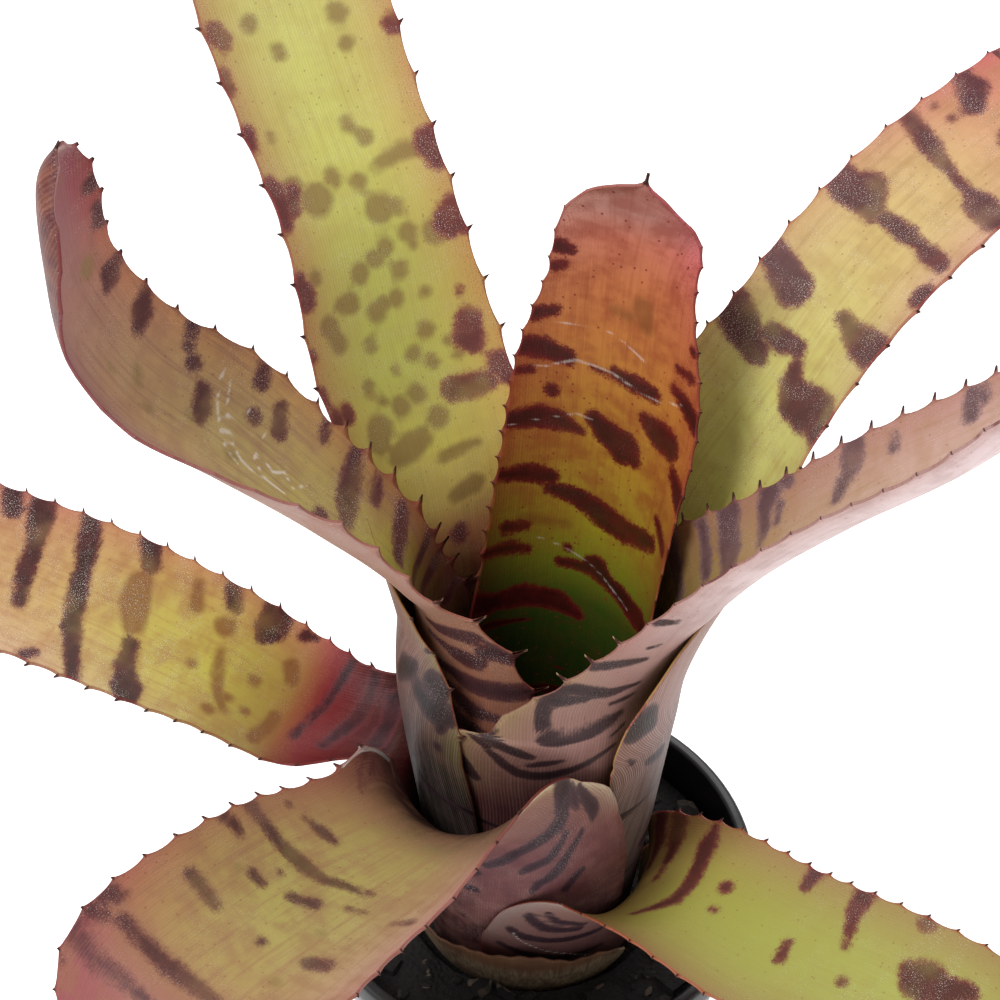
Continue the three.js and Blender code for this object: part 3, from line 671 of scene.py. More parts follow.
# %% The left leaf with the curled tip
leaf_left_upper = {
    "azimuth": 177, "shell": 1.7, "teeth_from": 131, "tooth_pitch": 13, "awl": 3, "slot": "leaf_tan",
    "thorns": ((0, 1.6), (170, 2.4), (220, 2.0), (300, 1.4)),
    "scallops": ((0, 1.0), (132, 3.0), (150, 4.0), (205, 3.4), (225, 1.4), (360, 0.8)),
    "long_thorns": [(1, 138, 175, 4), (1, 175, 370, 0)],
    "sheath": [[sheath_foot, 114, 0], [41, 110, 6], [92, 88, 16]],
    "blade": [
        [39, 136, -3, 41, 61, 11, 14], [46, 157, -6, 30, 45, 3, 11], [70, 179, -5, 31, 68, -1, 9],
        [97, 202, -6, 32, 59, -4, 0], [120, 224, -6, 29, 40, -6, 0], [133, 252, -4, 26, 29, -5, 0],
        [135, 280, -1, 22, 33, -5, 0], [134, 301, 2, 14, 38, -2, 0], [128, 311, 4, 4, 38, 0, 0],
    ],
    "tint_upper": [
        (0, (40, 28, 16)),
        (135, (84, 70, 24), (100, 66, 44), (84, 36, 28)),
        (160, (150, 140, 56), (150, 104, 78), (140, 74, 50)),
        (190, (172, 158, 84), (164, 124, 110), (172, 122, 76)),
        (225, (180, 160, 100), (168, 132, 120), (190, 144, 92)),
        (260, (182, 150, 102), (160, 116, 112), (196, 142, 92)),
        (300, (168, 124, 106), (146, 102, 106), (190, 122, 88)),
        (325, (150, 92, 96), (132, 82, 94), (160, 66, 60)),
        (350, (140, 74, 90), (116, 44, 64), (124, 36, 52)),
        (363, (212, 190, 184), (196, 166, 160), (196, 156, 156)),
    ],
    # The dark maroon foot, below about 126 mm, is painted shade on the outside of the tank.
    "tint_under": [
        (0, (44, 20, 18), (44, 24, 18), (44, 20, 18)),
        (112, (90, 42, 36), (92, 52, 36), (80, 40, 32)),
        (126, (124, 70, 54), (128, 74, 54), (100, 50, 44)),
        (160, (146, 106, 86), (142, 102, 82), (150, 112, 96)),
        (220, (180, 150, 142), (172, 142, 136), (170, 140, 124)),
        (290, (104, 64, 72), (98, 58, 68), (98, 52, 64)),
        (330, (62, 20, 34), (58, 18, 32), (60, 22, 34)),
        (363, (74, 28, 40), (70, 26, 38)),
    ],
    "veins_under": 0.1, "vein_colour_under": (206, 170, 140), "band_light_under": (78, 42, 44),
    "band_dark_under": (46, 24, 32), "scurf_under": 1.1, "mottle_under": (150, 90, 62),
    "seen_upper": [(140, 356, -2, 2)], "seen_under": [(112, 175, 0.1, 2), (165, 370, -2, 2)],
    "bands_upper": [
        [(300, -0.95, 3), (298, -0.75, 4.5), (296, -0.6, 2)], [(333, -0.93, 4)],
        [(319, -0.95, 4.5), (323, -0.9, 3)],
        [(284, -0.95, 2.5), (281, -0.75, 4.2), (278, -0.55, 2.6)], [(264, -0.97, 3), (262, -0.85, 2.4)],
        [(261, -0.75, 2.4)], [(257, -0.62, 3)], [(250, -0.42, 2.8), (248, -0.22, 3.6), (247, -0.1, 2)],
        [(238, -0.95, 2.4), (236, -0.8, 2.8)], [(232, -0.5, 3.2)],
        [(226, -0.75, 2.4), (223, -0.55, 3.3)], [(211, -0.97, 2), (209, -0.82, 2.2)],
        [(196, -0.95, 3.2), (193, -0.7, 4.8), (191, -0.45, 5), (190, -0.2, 3)],
        [(184, -0.95, 1.8), (182, -0.7, 2.8)], [(200, 0, 3), (199, -0.1, 3)],
        [(173, -0.9, 2.6), (170, -0.6, 3.3), (168, -0.3, 2.6)],
        [(162, -0.95, 2.5), (158, -0.7, 3.5), (156, -0.4, 3.2)],
        [(150, -0.98, 3), (146, -0.8, 4), (143, -0.6, 4)],
        [(133, -0.95, 3), (128, -0.8, 3)],
    ],
    "spots_upper": [
        [(250, -0.1, 2.5)], [(272, -0.2, 2), (270, -0.05, 2)], [(264, 0.15, 2)], [(234, 0.05, 3)],
        [(281, 0.1, 2)], [(307, -0.5, 4)],
    ],
    "silver_upper": [
        [(249, -0.97, 0.3), (248, -0.8, 0.3), (247, -0.62, 0.4), (244.5, -0.4, 0.4), (241, -0.2, 0.5),
         (236.5, 0, 0.4), (231, 0.08, 0.3)],
        [(244, -0.65, 0.2), (241, -0.4, 0.4), (236.5, -0.15, 0.3)],
        [(234, -0.55, 0.3), (236.5, -0.35, 0.4), (235, -0.12, 0.5), (230.5, 0, 0.5), (224.5, 0.03, 0.4)],
        [(225.5, -0.5, 0.3), (228, -0.3, 0.4), (226, -0.12, 0.5), (221, 0, 0.5), (213, 0, 0.4)],
        [(223, -0.2, 0.4), (219, -0.15, 0.5), (215.5, -0.25, 0.4), (211, -0.15, 0.4), (207, -0.3, 0.4)],
    ],
    "bands_under": [
        [(157, 0.3, 1.2), (156, 0.42, 1.8), (156.5, 0.62, 2.2), (156.5, 0.75, 2.4), (157, 0.9, 1.5)],
        [(152, 0.78, 2), (153, 0.92, 3), (152, 1, 3)],
        [(152, 0.22, 1), (150.5, 0.36, 1.5), (149.3, 0.48, 2.4), (148.6, 0.6, 3), (148.5, 0.7, 2.6),
         (149, 0.76, 1.5)],
        [(142, 0.27, 1.5), (142, 0.42, 2), (141, 0.5, 2.6), (140.5, 0.6, 3), (140.7, 0.72, 3),
         (141, 0.85, 3), (142, 1, 2.5)],
        [(137, 0.32, 1.2), (135, 0.39, 2), (133.5, 0.46, 2.6), (132, 0.54, 2.4), (132, 0.65, 1.8),
         (132, 0.74, 1.5)], [(130, 0.36, 1.5), (127, 0.42, 2.4), (125.5, 0.5, 2.8), (125, 0.6, 2.2)],
    ],
    "mottle_upper": (138, 92, 84),
    "streaks_upper": 0.5, "scurf_upper": 1.2,
    "widen_left": ((0, 0), (300, 0), (325, 6), (345, 8), (356, 6), (363, 2)),
    "widen_right": ((0, 0), (315, 0), (340, 3), (356, 2), (364, 0)),
    "band_light_upper": (110, 62, 60),
    "band_dark_upper": (72, 32, 40),
}

# %% The right leaf with the charcoal zebra on its outside
leaf_right = {
    "azimuth": -16, "shell": 2.6, "teeth_from": 140, "tooth_pitch": 11, "awl": 3, "slot": "leaf_rose",
    "thorns": ((0, 1.8), (150, 2.6), (250, 2.6), (360, 1.6)),
    "long_thorns": [(-1, 130, 146, 0), (-1, 146, 170, 4), (-1, 170, 380, 0.6)],
    "sheath": [[sheath_foot, 96, 0], [53, 105, 14], [118, 101, 2]],
    "blade": [
        [45, 133, 0, 56, 76, -4, -1], [53, 153, 1, 40, 63, -3, -4], [72, 181, 2, 31, 54, -8, -3],
        [96, 207, 2, 29, 55, -11, 0], [123, 234, 1, 29, 50, -13, 0], [147, 262, 2, 26, 48, -18, 0],
        [167, 286, 0, 22, 40, -18, 0], [181, 304, 0, 14, 34, -16, 0], [187, 312, 0, 4, 30, -14, 0],
    ],
    "tint_upper": [
        (0, (60, 50, 30), (60, 50, 30), (60, 50, 40)),
        (145, (104, 88, 40), (104, 72, 44), (140, 112, 100)),
        (170, (140, 118, 66), (140, 98, 74), (150, 120, 108)),
        (205, (168, 138, 112), (160, 114, 102), (180, 150, 142)),
        (250, (184, 152, 138), (172, 126, 116), (196, 170, 164)),
        (374, (190, 158, 152), (172, 124, 122), (204, 178, 176)),
    ],
    # Up to about 165 mm, on the outside of the tank, these stops are darkened as painted shade, near-black
    # maroon at the foot.
    "tint_under": [
        (0, (50, 18, 20), (50, 20, 20)),
        (100, (70, 28, 32), (70, 30, 30), (76, 38, 30)),
        (112, (92, 52, 50), (90, 46, 46), (118, 110, 64)),
        (128, (120, 82, 76), (112, 72, 68), (140, 124, 80)),
        (146, (134, 98, 90), (124, 82, 78), (142, 118, 82)),
        (165, (162, 128, 122), (156, 118, 112), (156, 108, 98)),
        (200, (212, 190, 190), (204, 178, 176), (198, 164, 158)),
        (374, (216, 194, 194), (206, 176, 174), (200, 160, 156)),
    ],
    "band_light_upper": (112, 84, 88), "band_dark_upper": (76, 52, 60), "band_depth_upper": 0.9,
    "band_light_under": (54, 34, 38), "band_dark_under": (28, 15, 19), "veins_under": 0.15,
    "margin_colour": (120, 62, 58), "scurf_under": 0.35,
    "seen_upper": [(135, 372, 0.1, 2)], "seen_under": [(90, 380, -2, 0.5)],
    "bands_upper": [
        [(160, 0.95, 3), (155, 0.75, 4), (150, 0.5, 4)], [(172, 0.95, 3), (169, 0.75, 2.5), (166, 0.5, 3)],
        [(183, 0.97, 5), (180, 0.8, 4.5), (178, 0.6, 5.5), (176, 0.4, 4)],
        [(199, 0.95, 4.5), (195, 0.8, 3), (193, 0.6, 3), (191, 0.45, 2)], [(201, 0.75, 1.8), (199, 0.6, 1.8)],
        [(206, 0.97, 3)], [(231, 0.95, 4), (229, 0.78, 4.5), (227, 0.65, 3)],
        [(224, 0.6, 3.5), (222, 0.45, 2.5)], [(244, 0.85, 1.6), (243, 0.7, 2)],
        [(272, 0.9, 2.6), (270, 0.7, 3.4)], [(277, 0.93, 1.8), (276, 0.8, 2.2)],
        [(298, 0.9, 3), (295, 0.7, 4), (293, 0.4, 3)], [(318, 0.8, 3), (315, 0.5, 4)],
        [(338, 0.9, 3), (336, 0.4, 3)],
    ],
    "bands_under": [
        [(157, -0.99, 1.2), (158.5, -0.93, 1.7), (160, -0.85, 1.6), (161.5, -0.76, 1.5),
         (162.5, -0.68, 1)],
        [(148, -0.99, 1.5), (149.3, -0.92, 1.8), (149.3, -0.84, 2), (148.8, -0.75, 2.2),
         (148.8, -0.67, 1.7), (150, -0.58, 1.2), (150.7, -0.5, 0.8)],
        [(146, -1, 1.2), (145.3, -0.95, 2.2), (145, -0.9, 2.2), (146, -0.83, 1.3), (146.7, -0.77, 0.9)],
        [(144.3, -0.58, 0.8), (145, -0.52, 1.1), (146, -0.45, 0.7)],
        [(143, -0.94, 2), (141.5, -0.89, 2.6), (139.8, -0.82, 2.4), (138.3, -0.74, 2.4),
         (137.3, -0.67, 2.2), (137.8, -0.6, 1.6), (138.8, -0.53, 1.3), (140.5, -0.44, 0.9)],
        [(137.5, -0.9, 1)],
        [(139, -1, 1), (136.5, -0.95, 2), (134.5, -0.89, 2.6), (132.3, -0.82, 2.4), (130.3, -0.75, 2.4),
         (129, -0.7, 1.6)], [(133.5, -0.96, 1.5), (132, -0.92, 1.8), (130, -0.87, 1.5), (127, -0.84, 1)],
        [(128, -0.85, 1.2), (126, -0.81, 1.6), (123, -0.77, 2), (119.8, -0.72, 2.3), (119.3, -0.66, 2.3),
         (120.5, -0.6, 2), (122, -0.54, 1.8), (123.8, -0.48, 1.6), (126, -0.44, 1.3), (129, -0.38, 0.9)],
        [(124.5, -0.69, 1), (125.8, -0.64, 1.6), (127.2, -0.58, 1)],
        [(122, -1, 3), (119, -0.97, 3.5), (115, -0.93, 3.5), (111, -0.89, 2.5)],
        [(134, -0.42, 0.7), (138, -0.37, 0.6)], [(167.5, -0.78, 0.8), (169, -0.7, 0.6)],
        [(178, -0.97, 1.5), (180, -0.8, 1)], [(130, -0.25, 4.5)], [(100, -0.25, 5)],
    ],
    "vein_colour_under": (196, 170, 164),
    "scallops": ((0, 1.0), (140, 1.6), (200, 1.2), (360, 1.0)),
    "widen_right": ((0, 0), (40, 10), (95, 12), (112, 13), (124, 12), (132, 8), (140, 3), (148, 0)),
}

# %% The tall leaf at the back left, cut by the photograph's edge
leaf_back_left = {
    "azimuth": 122, "shell": 3.55, "teeth_from": 122, "tooth_pitch": 16.5, "awl": 4, "slot": "leaf_yellow",
    "thorns": ((0, 2), (200, 2.6), (330, 2.2), (430, 1.2)),
    "sheath": [[sheath_foot, 105, 0], [49, 118, 3], [108, 110, 5]],
    "blade": [
        [50, 131, -1, 62, 79, 4, 7], [61, 157, 1, 39, 57, -2, 2], [85, 192, 0, 35, 34, -2, 1],
        [106, 231, -1, 31, 21, 0, 0], [129, 264, 0, 31, 15, -1, 0], [149, 297, 1, 32, 13, -2, 0],
        [171, 329, 0, 29, 14, 0, 0], [188, 355, 0, 24, 14, 0, 0], [200, 373, 0, 15, 13, 0, 0],
        [205, 381, 0, 4, 12, 0, 0],
    ],
    "widen_left": ((0, 0), (112, 0), (120, 2), (130, 5), (140, 9), (150, 11), (160, 9), (174, 2), (190, 0)),
    "tint_upper": [
        (0, (60, 50, 30)),
        (130, (112, 60, 44), (96, 64, 36), (112, 50, 40)),
        (144, (176, 116, 80), (140, 110, 60), (180, 120, 80)),
        (156, (202, 176, 96), (164, 140, 66), (200, 150, 92)),
        (175, (196, 184, 88), (176, 150, 86), (196, 160, 92)),
        (200, (178, 178, 84), (180, 128, 84), (184, 138, 80)),
        (240, (178, 178, 88), (178, 124, 86), (184, 134, 84)),
        (270, (192, 190, 98), (176, 132, 96), (186, 140, 98)),
        (310, (196, 192, 108), (176, 132, 94), (184, 138, 94)),
        (340, (196, 194, 112), (176, 132, 92), (180, 136, 92)),
        (436, (192, 180, 110), (180, 130, 96)),
    ],
    # The near-black foot, darkening below about 140 mm, is painted shade where no light reaches the foot of
    # the tank.
    "tint_under": [
        (0, (8, 6, 4), (12, 10, 6)),
        (92, (10, 8, 6), (20, 18, 10)),
        (106, (30, 18, 16), (56, 54, 30)),
        (120, (64, 40, 38), (96, 94, 50)),
        (140, (98, 68, 64), (110, 104, 62)),
        (160, (112, 80, 74), (124, 100, 82)),
        (200, (170, 150, 106), (176, 140, 104)),
        (436, (186, 170, 112), (186, 140, 104)),
    ],
    "spot_depth": 0.7, "spot_colour": (120, 88, 56), "veins_under": 0.12,
    "band_light_upper": (132, 70, 62), "band_dark_upper": (92, 40, 46), "scurf_upper": 1.2,
    "seen_upper": [(132, 345, -2, 2)], "seen_under": [(104, 165, 0.5, 2)],
    "bands_upper": [
        [(323, 0.88, 4), (320, 0.82, 3.5)], [(311, 0.97, 3), (307, 0.97, 3)],
        [(292, 0.95, 3), (288, 0.97, 3)], [(275, 0.95, 3), (268, 0.9, 4), (262, 0.95, 4)],
        [(264, 0.8, 3), (270, 0.72, 3)], [(243, 0.95, 3), (238, 0.95, 6), (236, 0.9, 4)],
        [(219, 0.97, 2.5)], [(206, 0.97, 2.5), (203, 0.97, 2)], [(196, 0.92, 4.5), (192, 0.95, 3)],
        [(196, 0.75, 4)], [(309, -0.95, 4)], [(270, -0.93, 6), (266, -0.95, 5)],
        [(247, -0.93, 7), (246, -0.85, 6)], [(223, -0.75, 2)],
        [(213, -0.75, 5), (208, -0.7, 6), (205, -0.72, 4)], [(196, -0.9, 5), (192, -0.95, 4)],
        [(192, -0.42, 5), (191.5, -0.58, 5), (192, -0.75, 4)], [(143, -0.1, 4)],
        [(346, 0.9, 4), (349, 0.6, 3)], [(342, -0.9, 4)], [(372, 0.8, 4), (370, 0.4, 4)],
        [(380, -0.7, 4), (383, -0.3, 3)], [(398, 0.3, 4), (396, -0.5, 4)], [(415, 0.6, 3), (413, 0, 4)],
    ],
    "spots_upper": [
        [(270, -0.75, 3), (270.5, -0.6, 3.5), (270, -0.42, 3), (268.5, -0.25, 2)], [(244, -0.68, 4.5)],
        [(246, -0.4, 3.5)], [(203, -0.55, 2)], [(242, 0.75, 3)], [(265, 0.48, 6)], [(271, 0.7, 4)],
        [(270, 0.22, 3.5)], [(266, -0.05, 3.5)], [(256, -0.18, 5.5)], [(255, -0.35, 3)],
        [(241, 0.02, 3.5)], [(243.5, -0.13, 3.5)], [(238, 0.2, 4)], [(235.5, -0.22, 3.5)],
        [(242, -0.42, 2)], [(230, 0.38, 4), (230, 0.5, 3)], [(224, 0.12, 4), (226, 0.02, 3)],
        [(226.5, -0.12, 3)], [(226, -0.42, 2.5)], [(225, 0.68, 4), (219, 0.6, 4)], [(214.5, 0.25, 3)],
        [(213.5, -0.33, 3.5)], [(207, -0.15, 3)], [(203, -0.3, 3)], [(208, -0.5, 2)], [(204, 0.07, 2)],
        [(201, 0.4, 3)], [(196, 0.28, 2.5)], [(192, 0.12, 4)], [(194.5, -0.07, 4)],
        [(187, 0.42, 6), (184, 0.45, 5)], [(185, -0.2, 4)],
        [(177.5, 0.3, 4), (178.5, 0.12, 5), (180, 0, 3.5)],
        [(171.5, -0.12, 2), (172, -0.3, 2.5), (172.5, -0.45, 2)], [(157, -0.15, 3), (158.5, -0.3, 4)],
        [(318, -0.42, 4)], [(308, -0.42, 3)], [(312, 0.3, 3)], [(323, 0.5, 3)], [(284, -0.15, 3)],
        [(278.5, -0.28, 3)], [(288, 0.72, 2)], [(352, 0.2, 3)], [(358, -0.3, 3)], [(366, 0, 3)],
        [(388, 0, 3)],
    ],
    "bands_under": [
        [(131, 0.78, 3), (129, 0.68, 4), (126, 0.62, 3)], [(131.5, 0.9, 2.5), (130.5, 0.97, 3)],
        [(128, 0.8, 2.5), (126, 0.86, 3.5), (125.5, 0.92, 4), (126, 0.98, 3)], [(122.5, 0.92, 2.8)],
        [(140, 0.99, 2)], [(115, 0.89, 2)],
    ],
    "mottle_upper": (172, 150, 84),
    "edge_under": 14,
    "freckles": 0.8,
}

# %% The leaf at the back right, cut by the photograph's right edge
leaf_back_right = {
    "azimuth": 34, "shell": 4.45, "teeth_from": 150, "tooth_pitch": 14, "awl": 4, "slot": "leaf_yellow",
    "thorns": ((0, 1.6), (200, 1.9), (300, 1.5), (400, 1)),
    "sheath": [[sheath_foot, 110, 0], [45, 113, -1], [101, 106, 0]],
    "blade": [
        [52, 131, -1, 59, 62, -4, 0], [70, 157, 2, 40, 49, 5, 1], [96, 194, 0, 32, 34, -2, 0],
        [124, 223, 1, 30, 21, -1, 0], [156, 244, 1, 30, 15, -1, 0], [196, 261, -1, 29, 14, -1, 0],
        [226, 270, 0, 25, 14, 0, 0], [248, 275, 0, 16, 13, 0, 0], [258, 276, 0, 4, 12, 0, 0],
    ],
    "tint_upper": [
        (0, (60, 50, 30)),
        (130, (172, 172, 80), (178, 164, 88), (170, 164, 88)),
        (160, (184, 182, 92), (184, 168, 94), (178, 168, 94)),
        (200, (186, 184, 104), (190, 170, 104), (180, 170, 104)),
        (235, (190, 180, 106), (192, 158, 108), (186, 162, 116)),
        (265, (194, 172, 110), (192, 154, 108), (192, 148, 124)),
        (300, (196, 164, 112), (192, 138, 112), (194, 150, 126)),
        (330, (194, 134, 104), (188, 100, 96), (190, 126, 112)),
        (404, (190, 108, 100), (184, 92, 92), (188, 106, 104)),
    ],
    "tint_under": [
        (0, (44, 18, 18), (50, 30, 24)),
        (90, (54, 24, 24), (66, 42, 30), (58, 32, 26)),
        (112, (88, 50, 48), (96, 72, 52), (86, 50, 40)),
        (135, (130, 92, 86), (130, 98, 82), (122, 82, 70)),
        (200, (180, 154, 120), (180, 140, 112)),
        (404, (190, 132, 110), (190, 124, 106)),
    ],
    "band_light_upper": (116, 62, 60), "band_dark_upper": (72, 30, 40), "scurf_upper": 1.8,
    "margin_colour": (150, 68, 58),
    "seen_upper": [(160, 335, -2, 2)], "seen_under": [(88, 150, -2, -0.45)],
    "bands_upper": [
        [(226, 0.95, 7), (222, 0.72, 7), (218, 0.45, 5), (217, 0.35, 3)],
        [(247, 0.93, 5), (245, 0.75, 6), (242, 0.52, 7)],
        [(226, 0.42, 4), (226, 0.25, 5), (227, 0.08, 4)],
        [(222, -0.05, 3), (217, -0.12, 5), (214, -0.3, 7), (215, -0.55, 8), (216, -0.8, 7),
         (214, -0.97, 6)], [(243, -0.2, 3), (241, -0.4, 4), (240, -0.65, 6), (240, -0.92, 6)],
        [(278, 0.95, 5), (277, 0.78, 6), (279, 0.6, 8), (276, 0.42, 5), (274, 0.35, 3)],
        [(276, 0.25, 2.5), (276, 0.05, 3.5), (275.5, -0.12, 4), (275, -0.32, 2.5), (274, -0.55, 4),
         (273, -0.82, 3)],
        [(306, 0.92, 3.5), (304.5, 0.7, 3.5), (303, 0.48, 4), (301.5, 0.25, 3), (300, 0, 2),
         (298.5, -0.25, 2), (297, -0.5, 5), (295, -0.85, 6)],
        [(328, 0.95, 4), (327, 0.75, 6), (323, 0.55, 4)], [(314, 0.85, 2)], [(315, 0.6, 2)],
        [(262, -0.93, 5)], [(322, 0, 3), (320, -0.1, 3)], [(350, 0.9, 3), (352, 0.6, 4), (350, 0.3, 3)],
        [(345, -0.4, 3), (342, -0.8, 4)], [(372, 0.5, 3), (370, 0, 4), (367, -0.5, 3)],
    ],
    "spots_upper": [
        [(336, -0.2, 3)], [(360, -0.4, 3)],
    ],
    "bands_under": [[(131, -0.98, 3.6), (131.5, -0.88, 4)], [(109, -0.78, 3), (107, -0.68, 3.5)],
                    [(116, -0.9, 1.8), (121, -0.93, 1.2)]],
    "widen_right": (
        (0, 0), (80, -12), (104, -12), (118, -5), (132, 10), (143, 14), (155, 13), (168, 6), (182, 0)),
}

# %% The lower left leaf with its crimson base
leaf_left_lower = {
    "azimuth": 164, "shell": 5.15, "teeth_from": 95, "tooth_pitch": 11, "awl": 4, "slot": "leaf_tan",
    "thorns": ((0, 1.2), (120, 2), (200, 2.4), (320, 1.2)),
    "sheath": [[sheath_foot, 44, -24], [19, 57, -24], [50, 51, -25]],
    "blade": [
        [49, 58, 0, 34, 64, 7, -22], [58, 59, 0, 24, 56, 9, -10], [85, 61, 0, 29, 36, -1, -4],
        [118, 79, -2, 32, 28, -4, 0], [156, 94, -2, 33, 19, -6, 0], [197, 106, -2, 32, 14, -6, 0],
        [234, 116, -2, 29, 14, -5, 0], [262, 122, -2, 23, 14, -4, 0], [280, 125, -2, 14, 13, -3, 0],
        [288, 126, -2, 4, 12, -3, 0],
    ],
    "tint_upper": [
        (0, (40, 3, 8)),
        (85, (50, 2, 8), (50, 3, 8), (48, 3, 8)),
        (102, (96, 8, 20), (90, 8, 18), (94, 12, 22)),
        (112, (116, 26, 32), (104, 28, 28), (132, 40, 44)),
        (118, (140, 78, 44), (126, 70, 42), (160, 76, 74)),
        (126, (160, 136, 60), (158, 134, 74), (184, 112, 92)),
        (150, (182, 170, 72), (182, 162, 90), (186, 138, 90)),
        (180, (184, 168, 84), (190, 168, 114), (184, 130, 88)),
        (205, (188, 158, 98), (194, 162, 126), (184, 132, 94)),
        (235, (188, 152, 102), (194, 158, 126), (176, 106, 92)),
        (328, (188, 158, 108), (194, 158, 126), (176, 120, 100)),
    ],
    "tint_under": [
        (0, (100, 40, 38), (100, 60, 40)),
        (100, (170, 100, 80), (180, 140, 90)),
        (328, (196, 170, 130), (196, 160, 120)),
    ],
    "band_light_upper": (94, 38, 42), "band_dark_upper": (44, 10, 20),
    "spot_depth": 0.8, "spot_colour": (122, 74, 38),
    "scurf_upper": 2.0, "veins_upper": 0.04, "mottle_depth": 0.45,
    "seen_upper": [(40, 252, -2, 2)],
    "bands_upper": [
        [(243, -0.97, 4), (240, -0.75, 4)],
        [(231, -0.97, 5), (229, -0.72, 5), (226, -0.35, 3.5), (224, 0, 3.5), (221, 0.3, 3)],
        [(213, -0.97, 4), (210, -0.7, 4.5), (207, -0.35, 3.5), (204, 0, 4), (201, 0.28, 4),
         (198, 0.5, 3.5), (194, 0.75, 3), (191, 0.97, 3)], [(190, -0.95, 4.5), (187, -0.75, 4)],
        [(180, 0.2, 3), (178, 0.5, 4), (174, 0.8, 6), (172, 0.97, 5)],
        [(158, -0.95, 3), (155, -0.75, 3)], [(142, -0.97, 5.5), (141, -0.75, 6), (142, -0.62, 3)],
        [(130, -0.9, 2.5), (126, -0.93, 2)],
        [(209, 0.93, 3), (207, 0.85, 2)],
        [(103, -0.97, 2.5), (106, -0.7, 3), (108, -0.35, 2), (111.5, 0, 2), (114, 0.35, 2.5)],
        [(93, -0.9, 3), (93.5, -0.6, 3), (96, -0.2, 4), (100, 0.1, 3), (103, 0.4, 3)],
        [(85, -0.6, 4), (84, -0.2, 4), (86, 0.2, 4)], [(262, -0.9, 4), (262, -0.3, 3), (260, 0.3, 3)],
        [(282, -0.8, 3), (281, 0, 4), (280, 0.7, 3)], [(300, 0, 4)],
    ],
    "spots_upper": [
        [(128, -0.5, 3), (125, -0.35, 3)],
        [(187, -0.5, 5), (185.5, -0.25, 6), (182, 0, 4)], [(169, -0.8, 2), (166, -0.55, 3)],
        [(154, -0.5, 4)], [(151, -0.2, 2), (148, 0.1, 2.5), (144, 0.35, 2.5), (140, 0.5, 2)],
        [(158, 0.1, 2.5)], [(136, -0.1, 3)], [(141, 0.3, 2.5)], [(145, 0.6, 3)], [(133, 0.35, 2)],
        [(123, 0.2, 2.5), (124, 0.45, 3), (126, 0.7, 3)],
    ],
    "dust": ((0, 0), (112, 0.1), (135, 0.7), (160, 1)),
    "mottle_upper": (150, 92, 60),
}

